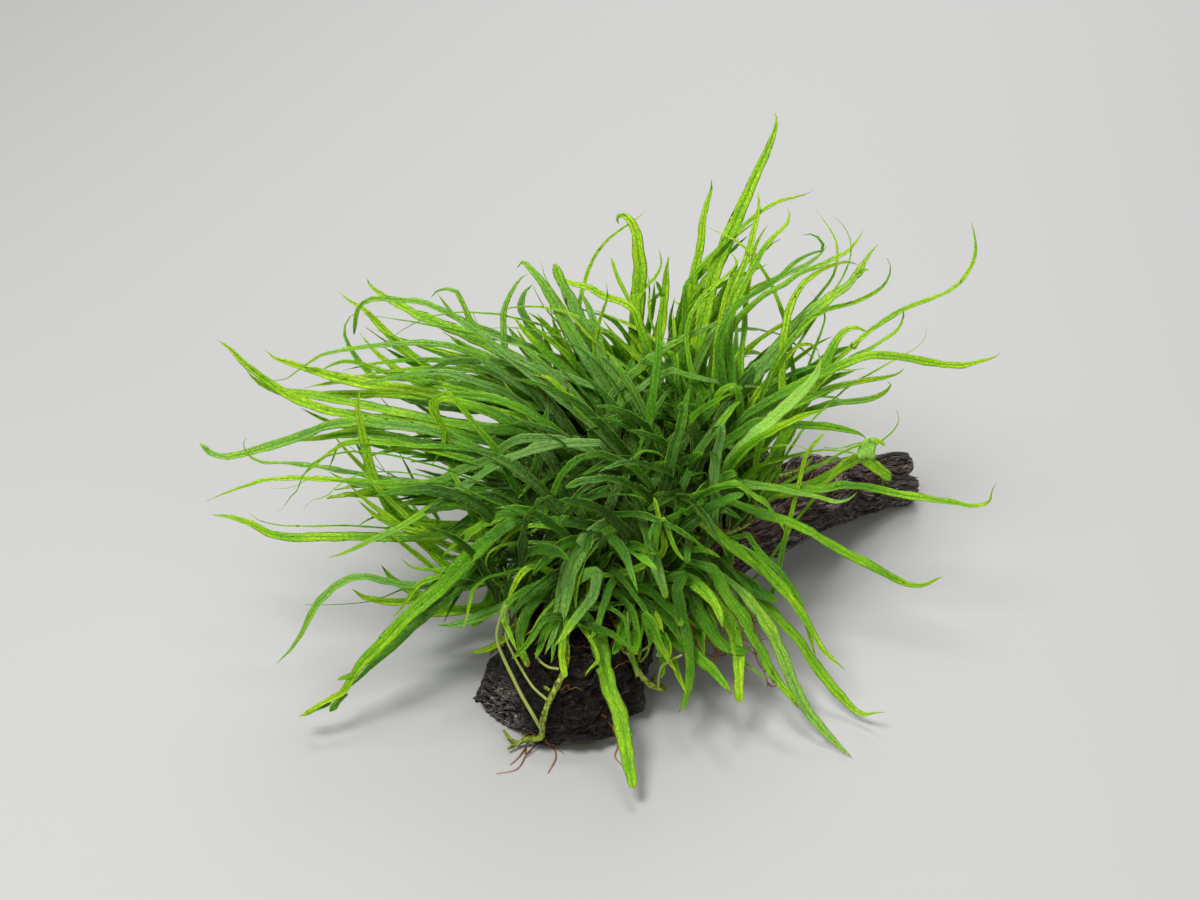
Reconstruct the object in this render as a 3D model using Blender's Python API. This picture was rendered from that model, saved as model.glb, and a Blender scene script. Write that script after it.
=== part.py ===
"""A clump of narrow-leaf java fern growing on a piece of driftwood.

Metres, +Z up. The origin lies on the flat foot of the driftwood's stump, and the wood runs from there
to the right and back. The leaves are ribbons that rise from three rhizomes creeping along the wood and
arch outwards. A leaf's route is drawn as it is seen from the front, looking down at VIEW_ELEVATION, and
its distance back is worked out from where it grows and how high its tip is drawn.
"""

import math
import random

import bmesh
import bpy
from mathutils import Vector, noise
from mathutils.bvhtree import BVHTree

MM = 0.001
COLLECTION = "java fern on driftwood"
GAP = 0.4 * MM  # between pieces that touch

# The drawing of the leaves: a plane through VIEW_TARGET, facing the viewer
VIEW_ELEVATION = math.radians(35)
VIEW_DISTANCE = 1417 * MM
VIEW_TARGET = Vector((12.5, 40, 124.6)) * MM
DRAWING_UNIT = 0.5 * MM
DRAWING_CENTRE = (600, 450)

RIGHT = Vector((1, 0, 0))
UP = Vector((0, 0, 1))
FORWARD = Vector((0, math.cos(VIEW_ELEVATION), -math.sin(VIEW_ELEVATION)))
VIEW_UP = Vector((0, math.sin(VIEW_ELEVATION), math.cos(VIEW_ELEVATION)))
VIEWER = VIEW_TARGET - VIEW_DISTANCE * FORWARD

# The driftwood's sections, from its front end to its far end, in millimetres:
# x, y, height of the middle, half width, half height
WOOD_SECTIONS = (
    (-38, -25, 12, 18, 10),
    (-34, -21, 13, 28, 17),
    (-25, -14, 17, 41, 22),
    (-11, -6, 21, 42, 27),
    (5, 9, 25, 36, 28),
    (17, 24, 28, 32, 28),
    (33, 40, 36, 26, 22),
    (50, 57, 39, 23, 19),
    (68, 73, 39, 21, 18),
    (88, 92, 37, 20, 18),
    (110, 116, 33, 19.5, 17.5),
    (126, 133, 28, 18, 16.5),
    (140, 147, 23, 16, 15),
    (155, 158, 17, 14, 14),
    (168, 166.5, 13.5, 12.5, 13.2),
    (180, 173, 12, 11.5, 12),
    (188, 177, 12, 9.5, 10),
)
FORK_SECTION = 7  # the stump ends here, and the limb begins
STUMP_SIDES, STUMP_STEPS = 30, 18
LIMB_SIDES, LIMB_STEPS = 22, 18
# How far the surface stands in or out, as shares of the section's size
WOOD_LUMPS, WOOD_LEDGES, WOOD_RIDGES = 0.16, 0.12, 0.045
RIDGES_ROUND = 9
SEED = 11

RHIZOME_RADIUS = 2.2 * MM
RHIZOME_SIDES = 6
# The free ends of two rhizomes, as drawn, from the growing tip up to the wood's top
FRONT_END = ((512, 752), (523, 745), (533, 737), (542, 727), (550, 703), (562, 680), (570, 655))
SIDE_END = ((665, 691), (656, 688), (646, 682), (636, 672), (630, 655))
SIDE_END_BACK = -22 * MM
# How each rhizome creeps along the wood: share of the half width off the middle, start, end
CREEP = {
    "rhizome_left": (-0.66, 0.12, 0.60),
    "rhizome_middle": (-0.02, 0.21, 0.70),
    "rhizome_right": (0.64, 0.25, 0.66),
}
SIDE_LEAN = {
    "rhizome_left": math.radians(-28),
    "rhizome_middle": 0,
    "rhizome_right": math.radians(28),
}
CREEP_STEPS = 11
MOST_LIFTS = 20  # each raises a stretch that touches the wood by GAP
ROOT_RADIUS = 0.6 * MM
ROOT_SIDES = 4
# Root strands of the middle rhizome, as drawn
ROOTS = (
    ((545, 738), (553, 747), (556, 757), (548, 774)),
    ((526, 748), (524, 760), (517, 770), (496, 775)),
    ((556, 733), (568, 741), (580, 745), (595, 744)),
)

BLADE_THICKNESS = 0.8 * MM
STALK_WIDTH = 1.7 * MM
STALK_THICKNESS = 1.5 * MM
STALK_SHARE, FULL_SHARE = 0.22, 0.50  # where the stalk ends and the blade is full, along a leaf
BLADE_POWER = 2.4  # a higher power keeps the blade wide nearer its tip
BLUNT_END, POINTED_END = 0.55, 0.10  # width at the tip, as a share of the full width
FLOOR_CLEARANCE = 1.2 * MM
STALK_RISE = 11 * MM  # how far a stalk stands straight off its rhizome
STALK_LEAN = math.radians(24)  # to either side in turn
# The distance back of a leaf's tip, from how far above its root it is drawn
LEVEL_RISE = 30 * MM
BACK_PER_RISE = 0.62
BACK_POWER = 1.3
FACE_TO_VIEWER = 0.52  # how far a blade's upper face turns from straight up to the viewer

# Shifts along the line of sight, tip and middle, that a leaf may take to stay clear of the others
TIP_SHIFTS = [k * 4 * MM for k in range(-6, 7)]
BOW_SHIFTS = [k * 3 * MM for k in range(-5, 6)]
LEAN_SHIFTS = [math.radians(k * 13) for k in range(-2, 3)]  # of its stalk, to the side
CLEARANCES = (0.5 * MM, 0.2 * MM)  # the second is for a leaf that finds no place with the first

# The leaves: full width in millimetres, whether the end is blunt, and the drawn route from the foot
# of what is seen to the tip. They stand along their rhizome in this order, from its front end.
LEAVES = {
    "rhizome_left": {
        "leaf_left_01": (7, False, (
            (520, 515), (480, 548), (440, 590), (402, 622), (363, 662), (343, 693), (325, 702), (298, 718),
        )),
        "leaf_left_02": (5, False, (
            (470, 580), (430, 587), (400, 585), (368, 577), (335, 586), (310, 615), (301, 635), (277, 662),
        )),
        "leaf_left_03": (4, False, (
            (480, 608), (455, 609), (425, 597), (405, 588), (381, 565),
        )),
        "leaf_left_04": (5, False, (
            (530, 560), (470, 530), (400, 537), (320, 537), (285, 537), (252, 524), (211, 514),
        )),
        "leaf_left_05": (3, False, (
            (540, 520), (470, 492), (400, 484), (320, 479), (262, 480), (222, 494), (206, 501),
        )),
        "leaf_left_06": (4, False, (
            (560, 520), (480, 492), (420, 484), (350, 473), (290, 464), (250, 457), (246, 438),
        )),
        "leaf_left_07": (5, True, (
            (560, 500), (480, 450), (420, 428), (360, 421), (300, 437), (250, 453), (212, 455), (201, 444),
        )),
        "leaf_left_08": (5, False, (
            (580, 490), (520, 450), (430, 427), (375, 419), (325, 410), (288, 396), (245, 364), (217, 339),
        )),
        "leaf_left_09": (5, False, (
            (590, 490), (540, 440), (490, 412), (440, 395), (360, 384), (300, 367), (263, 350),
        )),
        "leaf_left_10": (3.5, False, (
            (580, 450), (530, 390), (475, 355), (420, 342), (345, 349), (300, 368), (270, 380),
        )),
        "leaf_left_11": (4, False, (
            (450, 560), (395, 515), (371, 470), (361, 430), (359, 391),
        )),
        "leaf_left_12": (4.5, False, (
            (570, 440), (520, 410), (475, 395), (425, 365), (390, 337), (365, 310), (337, 292),
        )),
        "leaf_left_13": (7, False, (
            (590, 440), (545, 382), (495, 348), (445, 326), (400, 305), (367, 277),
        )),
    },
    "rhizome_middle": {
        "leaf_front_01": (8, True, (
            (572, 620), (585, 622), (603, 655), (610, 690), (618, 710), (628, 755), (634, 787),
        )),
        "leaf_front_02": (5, True, (
            (563, 640), (562, 655), (566, 679),
        )),
        "leaf_front_03": (5, True, (
            (545, 590), (528, 610), (519, 643), (528, 668),
        )),
        "leaf_front_04": (6.5, False, (
            (600, 525), (574, 553), (563, 590), (554, 635), (545, 656),
        )),
        "leaf_front_05": (6, False, (
            (590, 558), (550, 576), (510, 604), (468, 622), (437, 625),
        )),
        "leaf_front_06": (7, False, (
            (598, 518), (568, 503), (526, 512), (485, 522), (453, 536),
        )),
        "leaf_front_07": (6.5, False, (
            (622, 451), (560, 444), (512, 457), (440, 502), (370, 541), (328, 558),
        )),
        "leaf_front_08": (4, False, (
            (599, 453), (570, 465), (552, 496), (530, 533), (515, 538),
        )),
        "leaf_top_01": (4.5, False, (
            (600, 440), (540, 370), (500, 350), (469, 320), (457, 292), (430, 298),
        )),
        "leaf_top_02": (5, False, (
            (600, 430), (585, 408), (545, 367), (508, 330),
        )),
        "leaf_top_03": (5.5, False, (
            (655, 452), (622, 415), (590, 362), (556, 305), (524, 261), (518, 268),
        )),
        "leaf_top_04": (5, False, (
            (562, 440), (540, 344), (520, 308), (533, 284),
        )),
        "leaf_top_05": (6.5, True, (
            (640, 420), (602, 368), (581, 320), (561, 280), (555, 263),
        )),
        "leaf_top_06": (4.5, False, (
            (660, 400), (634, 310), (605, 297), (570, 284), (553, 274),
        )),
        "leaf_top_07": (5.5, False, (
            (645, 400), (637, 345), (639, 290), (638, 250), (630, 219), (619, 224),
        )),
        "leaf_top_08": (4, False, (
            (655, 400), (655, 352), (664, 305), (667, 270), (670, 255),
        )),
        "leaf_top_09": (4, False, (
            (685, 400), (698, 345), (692, 300), (702, 238), (712, 188), (711, 178),
        )),
        "leaf_back_01": (5, False, (
            (575, 395), (520, 372), (465, 372), (415, 402),
        )),
        "leaf_back_02": (5, False, (
            (690, 370), (720, 335), (765, 330), (815, 360),
        )),
    },
    "rhizome_right": {
        "leaf_right_01": (5, False, (
            (700, 575), (683, 610), (690, 660), (677, 713),
        )),
        "leaf_right_02": (6, False, (
            (690, 560), (705, 560), (734, 604), (757, 645), (780, 685), (799, 711),
        )),
        "leaf_right_03": (4.5, True, (
            (700, 590), (724, 613), (738, 650), (740, 703),
        )),
        "leaf_right_04": (6, False, (
            (715, 560), (742, 592), (771, 632), (791, 677), (824, 732), (852, 757),
        )),
        "leaf_right_05": (5.5, False, (
            (730, 570), (757, 597), (800, 642), (835, 690), (866, 715), (884, 712),
        )),
        "leaf_right_06": (6, False, (
            (640, 520), (662, 497), (701, 520), (740, 553), (768, 578), (779, 577),
        )),
        "leaf_right_07": (5, False, (
            (725, 540), (762, 555), (792, 588), (812, 640), (817, 658),
        )),
        "leaf_right_08": (5, False, (
            (690, 500), (750, 508), (809, 531), (870, 565), (906, 584), (944, 577),
        )),
        "leaf_right_09": (4.5, False, (
            (710, 500), (770, 487), (841, 486), (908, 496), (970, 506), (996, 483),
        )),
        "leaf_right_10": (4.5, False, (
            (720, 440), (755, 422), (799, 425), (844, 429), (868, 438),
        )),
        "leaf_right_11": (4.5, False, (
            (720, 440), (790, 390), (837, 366), (889, 355), (944, 364), (1000, 352),
        )),
        "leaf_right_12": (3.5, False, (
            (745, 430), (820, 372), (870, 330), (935, 297), (976, 250), (970, 218),
        )),
        "leaf_right_13": (6.5, False, (
            (700, 440), (750, 378), (800, 324), (850, 284), (879, 244),
        )),
        "leaf_right_14": (5, False, (
            (715, 430), (733, 457), (771, 421), (815, 378), (819, 352),
        )),
        "leaf_right_15": (4.5, False, (
            (690, 420), (715, 330), (772, 282), (829, 246),
        )),
        "leaf_right_16": (5.5, False, (
            (682, 430), (694, 355), (711, 285), (744, 203), (773, 135), (774, 111),
        )),
        "leaf_right_17": (3.5, False, (
            (690, 400), (720, 248), (762, 211), (814, 191),
        )),
        "leaf_back_03": (5, False, (
            (745, 455), (790, 400), (840, 398), (880, 425),
        )),
        "leaf_back_04": (5, False, (
            (700, 420), (715, 350), (700, 318), (672, 300),
        )),
    },
}
# Tips that lie further back than they would by their height alone, in millimetres
TIPS_FURTHER_BACK = {
    "leaf_back_01": 85,
    "leaf_back_02": 80,
    "leaf_back_03": 55,
    "leaf_back_04": 60,
    "leaf_front_01": -10,
}

# Small leaves grown into their rhizome
SMALL_LEAVES = {"rhizome_left": 10, "rhizome_middle": 12, "rhizome_right": 10}
SMALL_LENGTH = (70 * MM, 125 * MM)
SMALL_WIDTH = (3.5 * MM, 5.5 * MM)
SMALL_STATIONS = 8
GOLDEN_ANGLE = math.radians(137.5)

COLOURS = {
    "wood": ((0.040, 0.030, 0.026), 0.75),
    "rhizome": ((0.180, 0.270, 0.030), 0.55),
    "leaf": ((0.095, 0.300, 0.025), 0.40),
}


def clear_scene():
    for item in list(bpy.data.objects):
        bpy.data.objects.remove(item, do_unlink=True)


def new_collection(name, parent=None):
    collection = bpy.data.collections.new(name)
    (parent or bpy.context.scene.collection).children.link(collection)
    return collection


def new_material(name, kind):
    material = bpy.data.materials.new(name)
    material.use_nodes = True
    shader = material.node_tree.nodes["Principled BSDF"]
    colour, roughness = COLOURS[kind]
    shader.inputs["Base Color"].default_value = (*colour, 1)
    shader.inputs["Roughness"].default_value = roughness
    shader.inputs["Metallic"].default_value = 0
    material.diffuse_color = (*colour, 1)
    return material


def new_object(name, mesh, kind, collection):
    thing = bpy.data.objects.new(name, mesh)
    thing.data.materials.append(new_material(name, kind))
    collection.objects.link(thing)
    return thing


def mesh_of(name, shape):
    points, faces = shape
    mesh = bpy.data.meshes.new(name)
    mesh.from_pydata([tuple(p) for p in points], [], faces)
    mesh.update()
    return mesh


# ---- curves and lofts ----


def smooth(points, steps):
    """Points evenly spaced along a smooth curve through the given ones."""
    gaps = [max((b - a).length, 1e-6) for a, b in zip(points, points[1:])]
    slopes = [(points[1] - points[0]) / gaps[0]]
    for i in range(1, len(points) - 1):
        before = (points[i] - points[i - 1]) / gaps[i - 1]
        after = (points[i + 1] - points[i]) / gaps[i]
        slopes.append((before * gaps[i] + after * gaps[i - 1]) / (gaps[i] + gaps[i - 1]))
    slopes.append((points[-1] - points[-2]) / gaps[-1])
    fine = [points[0]]
    for i, gap in enumerate(gaps):
        for k in range(1, 13):
            t = k / 12
            a = 2 * t**3 - 3 * t**2 + 1
            b = t**3 - 2 * t**2 + t
            c = 3 * t**2 - 2 * t**3
            d = t**3 - t**2
            fine.append(points[i] * a + slopes[i] * (b * gap) + points[i + 1] * c + slopes[i + 1] * (d * gap))
    return evenly(fine, steps)


def evenly(points, steps):
    """steps + 1 points at equal distances along a line of points."""
    lengths = [0]
    for a, b in zip(points, points[1:]):
        lengths.append(lengths[-1] + (b - a).length)
    spaced, i = [], 0
    for k in range(steps + 1):
        at = lengths[-1] * k / steps
        while i < len(points) - 2 and lengths[i + 1] < at:
            i += 1
        share = (at - lengths[i]) / max(lengths[i + 1] - lengths[i], 1e-9)
        spaced.append(points[i].lerp(points[i + 1], min(share, 1)))
    return spaced


def tangents(line):
    last = len(line) - 1
    return [(line[min(i + 1, last)] - line[max(i - 1, 0)]).normalized() for i in range(last + 1)]


def lofted(rings):
    """A closed shape over rings of points with the same count, its two ends flat."""
    sides = len(rings[0])
    points = [p for ring in rings for p in ring]
    faces = [tuple(reversed(range(sides)))]
    for r in range(len(rings) - 1):
        for k in range(sides):
            after = (k + 1) % sides
            faces.append((r * sides + k, r * sides + after, (r + 1) * sides + after, (r + 1) * sides + k))
    faces.append(tuple(range((len(rings) - 1) * sides, len(rings) * sides)))
    return points, faces


def tube(line, radius_at, sides):
    """A round tube along a line of points."""
    side = RIGHT
    rings = []
    for i, along in enumerate(tangents(line)):
        side = (side - along * side.dot(along)).normalized()
        up = along.cross(side)
        radius = radius_at(i / (len(line) - 1))
        turns = [2 * math.pi * k / sides for k in range(sides)]
        rings.append([line[i] + (side * math.cos(a) + up * math.sin(a)) * radius for a in turns])
    return lofted(rings)


# ---- the view of the drawing ----


def sight_line(column, row):
    across = (column - DRAWING_CENTRE[0]) * DRAWING_UNIT
    up = (DRAWING_CENTRE[1] - row) * DRAWING_UNIT
    return (VIEW_TARGET + RIGHT * across + VIEW_UP * up - VIEWER).normalized()


def seen_at(column, row, back):
    """The point drawn at this column and row, at this distance back, and never below the floor."""
    line = sight_line(column, row)
    to_back = (back - VIEWER.y) / line.y
    to_floor = (FLOOR_CLEARANCE - VIEWER.z) / line.z
    return VIEWER + line * min(to_back, to_floor)


def drawn_place(point):
    """The column and row at which a point is seen."""
    ray = point - VIEWER
    ray *= VIEW_DISTANCE / ray.dot(FORWARD)
    column = DRAWING_CENTRE[0] + ray.dot(RIGHT) / DRAWING_UNIT
    row = DRAWING_CENTRE[1] - ray.dot(VIEW_UP) / DRAWING_UNIT
    return Vector((column, row))


# ---- driftwood ----


def wood_section(share):
    """Middle, half width, half height and direction of the wood at a share of its length."""
    place = share * (len(WOOD_SECTIONS) - 1)
    i = min(int(place), len(WOOD_SECTIONS) - 2)
    t = place - i
    t = t * t * (3 - 2 * t) * 0.35 + t * 0.65
    mixed = [(a + (b - a) * t) * MM for a, b in zip(WOOD_SECTIONS[i], WOOD_SECTIONS[i + 1])]
    before = Vector(WOOD_SECTIONS[max(i - 1, 0)][:3])
    after = Vector(WOOD_SECTIONS[min(i + 2, len(WOOD_SECTIONS) - 1)][:3])
    along = after - before
    along.z = 0
    return Vector(mixed[:3]), mixed[3], mixed[4], along.normalized()


def wood_ring(share, sides, shift=0.0):
    middle, half_width, half_height, along = wood_section(share)
    across = Vector((along.y, -along.x, 0))
    ring = []
    for k in range(sides):
        a = 2 * math.pi * k / sides
        out = across * math.cos(a) + UP * math.sin(a)
        place = middle / (30 * MM) + out
        lump = noise.noise(place * 0.9 + Vector((0, SEED, 0)))
        ledge = round(2.5 * noise.noise(place * 1.6 + Vector((SEED, 0, 0)))) / 2.5
        ridge = math.sin(RIDGES_ROUND * a + 2.5 * noise.noise(Vector((share * 9, a, SEED))))
        size = 1 + WOOD_LUMPS * 2 * lump + WOOD_LEDGES * ledge + WOOD_RIDGES * ridge
        corner = 1 + 0.10 * abs(math.sin(2 * a))  # a little squarer than round
        point = middle + along * shift
        point += across * (math.cos(a) * half_width * size * corner)
        point += UP * (math.sin(a) * half_height * size * corner)
        ring.append(point)
    return ring


def wood_piece(name, start, end, sides, steps, shift, collection):
    shares = [start + (end - start) * k / steps for k in range(steps + 1)]
    rings = [wood_ring(share, sides, shift) for share in shares]
    mesh = mesh_of(name, lofted(rings))
    cut_flat_below(mesh)
    return new_object(name, mesh, "wood", collection)


def cut_flat_below(mesh):
    """Cuts a mesh off at the floor and closes it with one flat face for each cut."""
    shape = bmesh.new()
    shape.from_mesh(mesh)
    bmesh.ops.recalc_face_normals(shape, faces=shape.faces)
    everything = shape.verts[:] + shape.edges[:] + shape.faces[:]
    bmesh.ops.bisect_plane(shape, geom=everything, plane_co=(0, 0, 0), plane_no=(0, 0, -1), clear_outer=True)
    open_edges = [e for e in shape.edges if e.is_boundary]
    bmesh.ops.holes_fill(shape, edges=open_edges, sides=0)
    bmesh.ops.triangulate(shape, faces=shape.faces)
    bmesh.ops.recalc_face_normals(shape, faces=shape.faces)
    shape.to_mesh(mesh)
    shape.free()


def make_driftwood(collection):
    fork = FORK_SECTION / (len(WOOD_SECTIONS) - 1)
    stump = wood_piece("driftwood_stump", 0, fork, STUMP_SIDES, STUMP_STEPS, 0, collection)
    limb = wood_piece("driftwood_limb", fork, 1, LIMB_SIDES, LIMB_STEPS, GAP, collection)
    return [stump, limb]


# ---- rhizomes ----


def tree_of(shapes):
    """One search tree over several shapes, each a list of points and a list of faces."""
    points, faces = [], []
    for shape_points, shape_faces in shapes:
        base = len(points)
        points += shape_points
        faces += [tuple(base + i for i in face) for face in shape_faces]
    return BVHTree.FromPolygons(points, faces)


def shape_of(thing):
    points = [v.co.copy() for v in thing.data.vertices]
    return points, [tuple(p.vertices) for p in thing.data.polygons]


def drawn_on_wood(wood, column, row, lift):
    """Where the line of sight meets the wood or the floor, lifted off it."""
    line = sight_line(column, row)
    hit, normal, _, _ = wood.ray_cast(VIEWER, line)
    floor = VIEWER + line * (-VIEWER.z / line.z)
    if hit is None:
        return floor + UP * lift
    return hit + (normal - line).normalized() * lift


def above_wood(wood, share, side, lift):
    middle, half_width, _, along = wood_section(share)
    place = middle + Vector((along.y, -along.x, 0)) * half_width * side
    hit, normal, _, _ = wood.ray_cast(place + UP * 0.2, -UP)
    return hit + (normal + UP).normalized() * lift


def rhizome_line(name, wood):
    side, start, end = CREEP[name]
    lift = RHIZOME_RADIUS + 2 * GAP
    line = []
    if name == "rhizome_middle":
        line += [drawn_on_wood(wood, column, row, lift) for column, row in FRONT_END]
    if name == "rhizome_right":
        line += [seen_at(column, row, SIDE_END_BACK) for column, row in SIDE_END]
    for k in range(CREEP_STEPS):
        share = start + (end - start) * k / (CREEP_STEPS - 1)
        wander = 0.10 * math.sin(2.4 * k + SEED)
        line.append(above_wood(wood, share, side + wander, lift))
    line = lifted_clear(wood, smooth(line, 30), lift)
    return raised_off(wood, line, rhizome_radius, RHIZOME_SIDES)


def raised_off(wood, line, radius_at, sides):
    """The line, its points raised until a slightly fatter tube along it touches no wood."""
    line = list(line)
    for _ in range(MOST_LIFTS):
        body = tree_of([tube(line, lambda share: radius_at(share) + GAP, sides)])
        touching = {(face - 1) // sides for face, _ in body.overlap(wood)}
        if not touching:
            break
        for i in {end for step in touching for end in (step, step + 1) if 0 <= end < len(line)}:
            _, normal, _, _ = wood.find_nearest(line[i])
            line[i] = line[i] + normal * GAP
    return line


def lifted_clear(wood, line, lift):
    """The line with each point moved out to at least the lift from the wood."""
    clear = []
    for point in line:
        nearest, normal, _, distance = wood.find_nearest(point)
        inside = (point - nearest).dot(normal) < 0
        if inside or distance < lift:
            point = nearest + normal * lift
        point.z = max(point.z, lift)
        clear.append(point)
    return clear


def root_shapes(wood, rhizome):
    for route in ROOTS:
        line = [drawn_on_wood(wood, column, row, ROOT_RADIUS + 2 * GAP) for column, row in route]
        line = lifted_clear(wood, smooth(line, 6), ROOT_RADIUS + 2 * GAP)
        line.insert(0, min(rhizome, key=lambda point: (point - line[0]).length))
        yield tube(raised_off(wood, line, root_radius, ROOT_SIDES), root_radius, ROOT_SIDES)


# ---- leaves ----


def blade_width(share, width, blunt):
    """Width of a leaf at a share of its length: a stalk, then a blade that narrows to its tip."""
    if share < STALK_SHARE:
        return STALK_WIDTH
    if share < FULL_SHARE:
        t = (share - STALK_SHARE) / (FULL_SHARE - STALK_SHARE)
        return STALK_WIDTH + (width - STALK_WIDTH) * t * t * (3 - 2 * t)
    t = (share - FULL_SHARE) / (1 - FULL_SHARE)
    end = BLUNT_END if blunt else POINTED_END
    return width * (1 - (1 - end) * t**BLADE_POWER)


def leaf_shape(line, width, blunt, facing, extra=0.0):
    """A ribbon with a diamond section along a line. extra makes it fatter, to test its clearance."""
    last = len(line) - 1
    directions = tangents(line)
    sideways = RIGHT.copy()
    rings = []
    for i in range(last, -1, -1):
        along = directions[i]
        wanted = facing.cross(along) + sideways * 0.35
        if wanted.dot(sideways) < 0 and i < last:
            wanted = sideways - facing.cross(along)
        sideways = (wanted - along * wanted.dot(along)).normalized()
        share = i / last
        half = blade_width(share, width, blunt) / 2
        flat = min(max((share - STALK_SHARE) / 0.15, 0), 1)
        thick = (STALK_THICKNESS + (BLADE_THICKNESS - STALK_THICKNESS) * flat) / 2
        more = extra * min(share / 0.08, 1)
        out = sideways * (half + more)
        over = along.cross(sideways) * (thick + more)
        rings.append([line[i] + out, line[i] + over, line[i] - out, line[i] - over])
    rings.reverse()
    return lofted(rings)


def leaf_facing(line):
    """The way a blade's upper face turns: up, and towards the viewer unless it droops at the back."""
    if line[-1].y > line[0].y and line[-1].z < line[0].z + LEVEL_RISE:
        return UP
    return (UP.lerp(-FORWARD, FACE_TO_VIEWER)).normalized()


def leaf_line(spot, route, further_back, tip_shift=0.0, bow_shift=0.0, lean_shift=0.0):
    """The middle line of a leaf from its spot on a rhizome through its drawn route."""
    place, across, upward, lean = spot
    off = upward * math.cos(lean + lean_shift) + across * math.sin(lean + lean_shift)
    socket = place + off * (RHIZOME_RADIUS + 2 * GAP)
    start = drawn_place(socket)
    places = [Vector(place) for place in route]
    lengths = [(places[0] - start).length]
    for a, b in zip(places, places[1:]):
        lengths.append(lengths[-1] + (b - a).length)
    rise = (start.y - places[-1].y) * DRAWING_UNIT
    tip_back = (rise - LEVEL_RISE) * BACK_PER_RISE + further_back
    points = [socket, socket + off * STALK_RISE]
    for place, length in zip(places, lengths):
        share = length / lengths[-1]
        back = socket.y + tip_back * share**BACK_POWER
        back += tip_shift * share**2 + bow_shift * math.sin(math.pi * share)
        points.append(seen_at(place.x, place.y, back))
    length = sum((b - a).length for a, b in zip(points, points[1:]))
    steps = min(max(round(length / (20 * MM)), 8), 11)
    return smooth(points, steps)


def sockets(line, count, side_lean, offset=0.5):
    """Evenly spaced spots on a rhizome: place, the ways across and up from it, and a stalk's lean."""
    spots = evenly(line, 200)
    first = min(range(201), key=lambda i: -spots[i].z) if spots[0].z < 0.03 else 4
    first = min(first, 60)
    for k in range(count):
        i = first + int((196 - first) * (k + offset) / count)
        along = (spots[i + 2] - spots[i - 2]).normalized()
        across = along.cross(UP).normalized()
        yield spots[i], across, across.cross(along), side_lean + STALK_LEAN * (1 if k % 2 else -1)


def shifts():
    """Every tip shift, bow shift and lean shift together, the smallest first."""
    every = [(tip, bow, lean) for tip in TIP_SHIFTS for bow in BOW_SHIFTS for lean in LEAN_SHIFTS]
    return sorted(every, key=lambda s: s[0] ** 2 + 2 * s[1] ** 2 + (s[2] * 30 * MM) ** 2)


def too_low(shape):
    return min(p.z for p in shape[0]) < GAP


def clear_leaf(placed, spot, width, blunt, route, further_back):
    """The first of the shifted leaves that clears everything placed."""
    tree = tree_of(placed)
    for clearance in CLEARANCES:
        for shift in shifts():
            line = leaf_line(spot, route, further_back, *shift)
            facing = leaf_facing(line)
            fat = leaf_shape(line, width, blunt, facing, clearance)
            shape = leaf_shape(line, width, blunt, facing)
            if not tree_of([fat]).overlap(tree) and not too_low(shape):
                return shape
    raise ValueError(f"the leaf drawn to {route[-1]} finds no clear place")


def small_leaf_line(start, turn, length, droop):
    """A small leaf's arc: up off its rhizome, then out and over."""
    out = Vector((math.cos(turn), math.sin(turn), 0))
    steps = SMALL_STATIONS - 1
    point = start.copy()
    line = [point.copy()]
    for k in range(steps):
        pitch = math.radians(78) - droop * ((k + 1) / steps) ** 1.2
        point = point + (out * math.cos(pitch) + UP * math.sin(pitch)) * (length / steps)
        line.append(point.copy())
    return line


def small_leaves(name, line, others):
    """The shapes of the small leaves that grow into one rhizome, clear of everything but it."""
    chance = random.Random(f"{name}{SEED}")
    count = SMALL_LEAVES[name]
    grown = []
    for k, (spot, _, _, _) in enumerate(sockets(line, count, 0, 0.95)):
        tree = tree_of(others + grown)
        for attempt in range(60):
            turn = GOLDEN_ANGLE * (k + attempt * 7.3)
            length = chance.uniform(*SMALL_LENGTH)
            droop = math.radians(chance.uniform(55, 110))
            width = chance.uniform(*SMALL_WIDTH)
            route = small_leaf_line(spot, turn, length, droop)
            fat = leaf_shape(route, width, False, UP, CLEARANCES[0])
            if not tree_of([fat]).overlap(tree):
                grown.append(leaf_shape(route, width, False, UP))
                break
    return grown


def join_by_union(body, shapes, cutters):
    for k, shape in enumerate(shapes):
        part = bpy.data.objects.new(f"{body.name}_part_{k}", mesh_of(f"{body.name}_part_{k}", shape))
        cutters.objects.link(part)
        part.hide_render = True
        part.display_type = "WIRE"
        modifier = body.modifiers.new(f"union {k}", "BOOLEAN")
        modifier.operation = "UNION"
        modifier.solver = "EXACT"
        modifier.object = part


def make_plants(wood_things, collection, cutters):
    wood_shapes = [shape_of(thing) for thing in wood_things]
    wood = tree_of(wood_shapes)
    lines = {name: rhizome_line(name, wood) for name in CREEP}
    bodies = {name: tube(line, rhizome_radius, RHIZOME_SIDES) for name, line in lines.items()}
    placed = wood_shapes + list(bodies.values())
    roots = list(root_shapes(wood, lines["rhizome_middle"]))
    placed += roots
    for name, leaves in LEAVES.items():
        spots = sockets(lines[name], len(leaves), SIDE_LEAN[name])
        for (leaf, (width, blunt, route)), spot in zip(leaves.items(), spots):
            further = TIPS_FURTHER_BACK.get(leaf, 0) * MM
            shape = clear_leaf(placed, spot, width * MM, blunt, route, further)
            placed.append(shape)
            new_object(leaf, mesh_of(leaf, shape), "leaf", collection)
    for name, shape in bodies.items():
        body = new_object(name, mesh_of(name, shape), "rhizome", collection)
        grown = small_leaves(name, lines[name], [other for other in placed if other is not shape])
        placed += grown
        extra = grown + (roots if name == "rhizome_middle" else [])
        join_by_union(body, extra, cutters)


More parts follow.
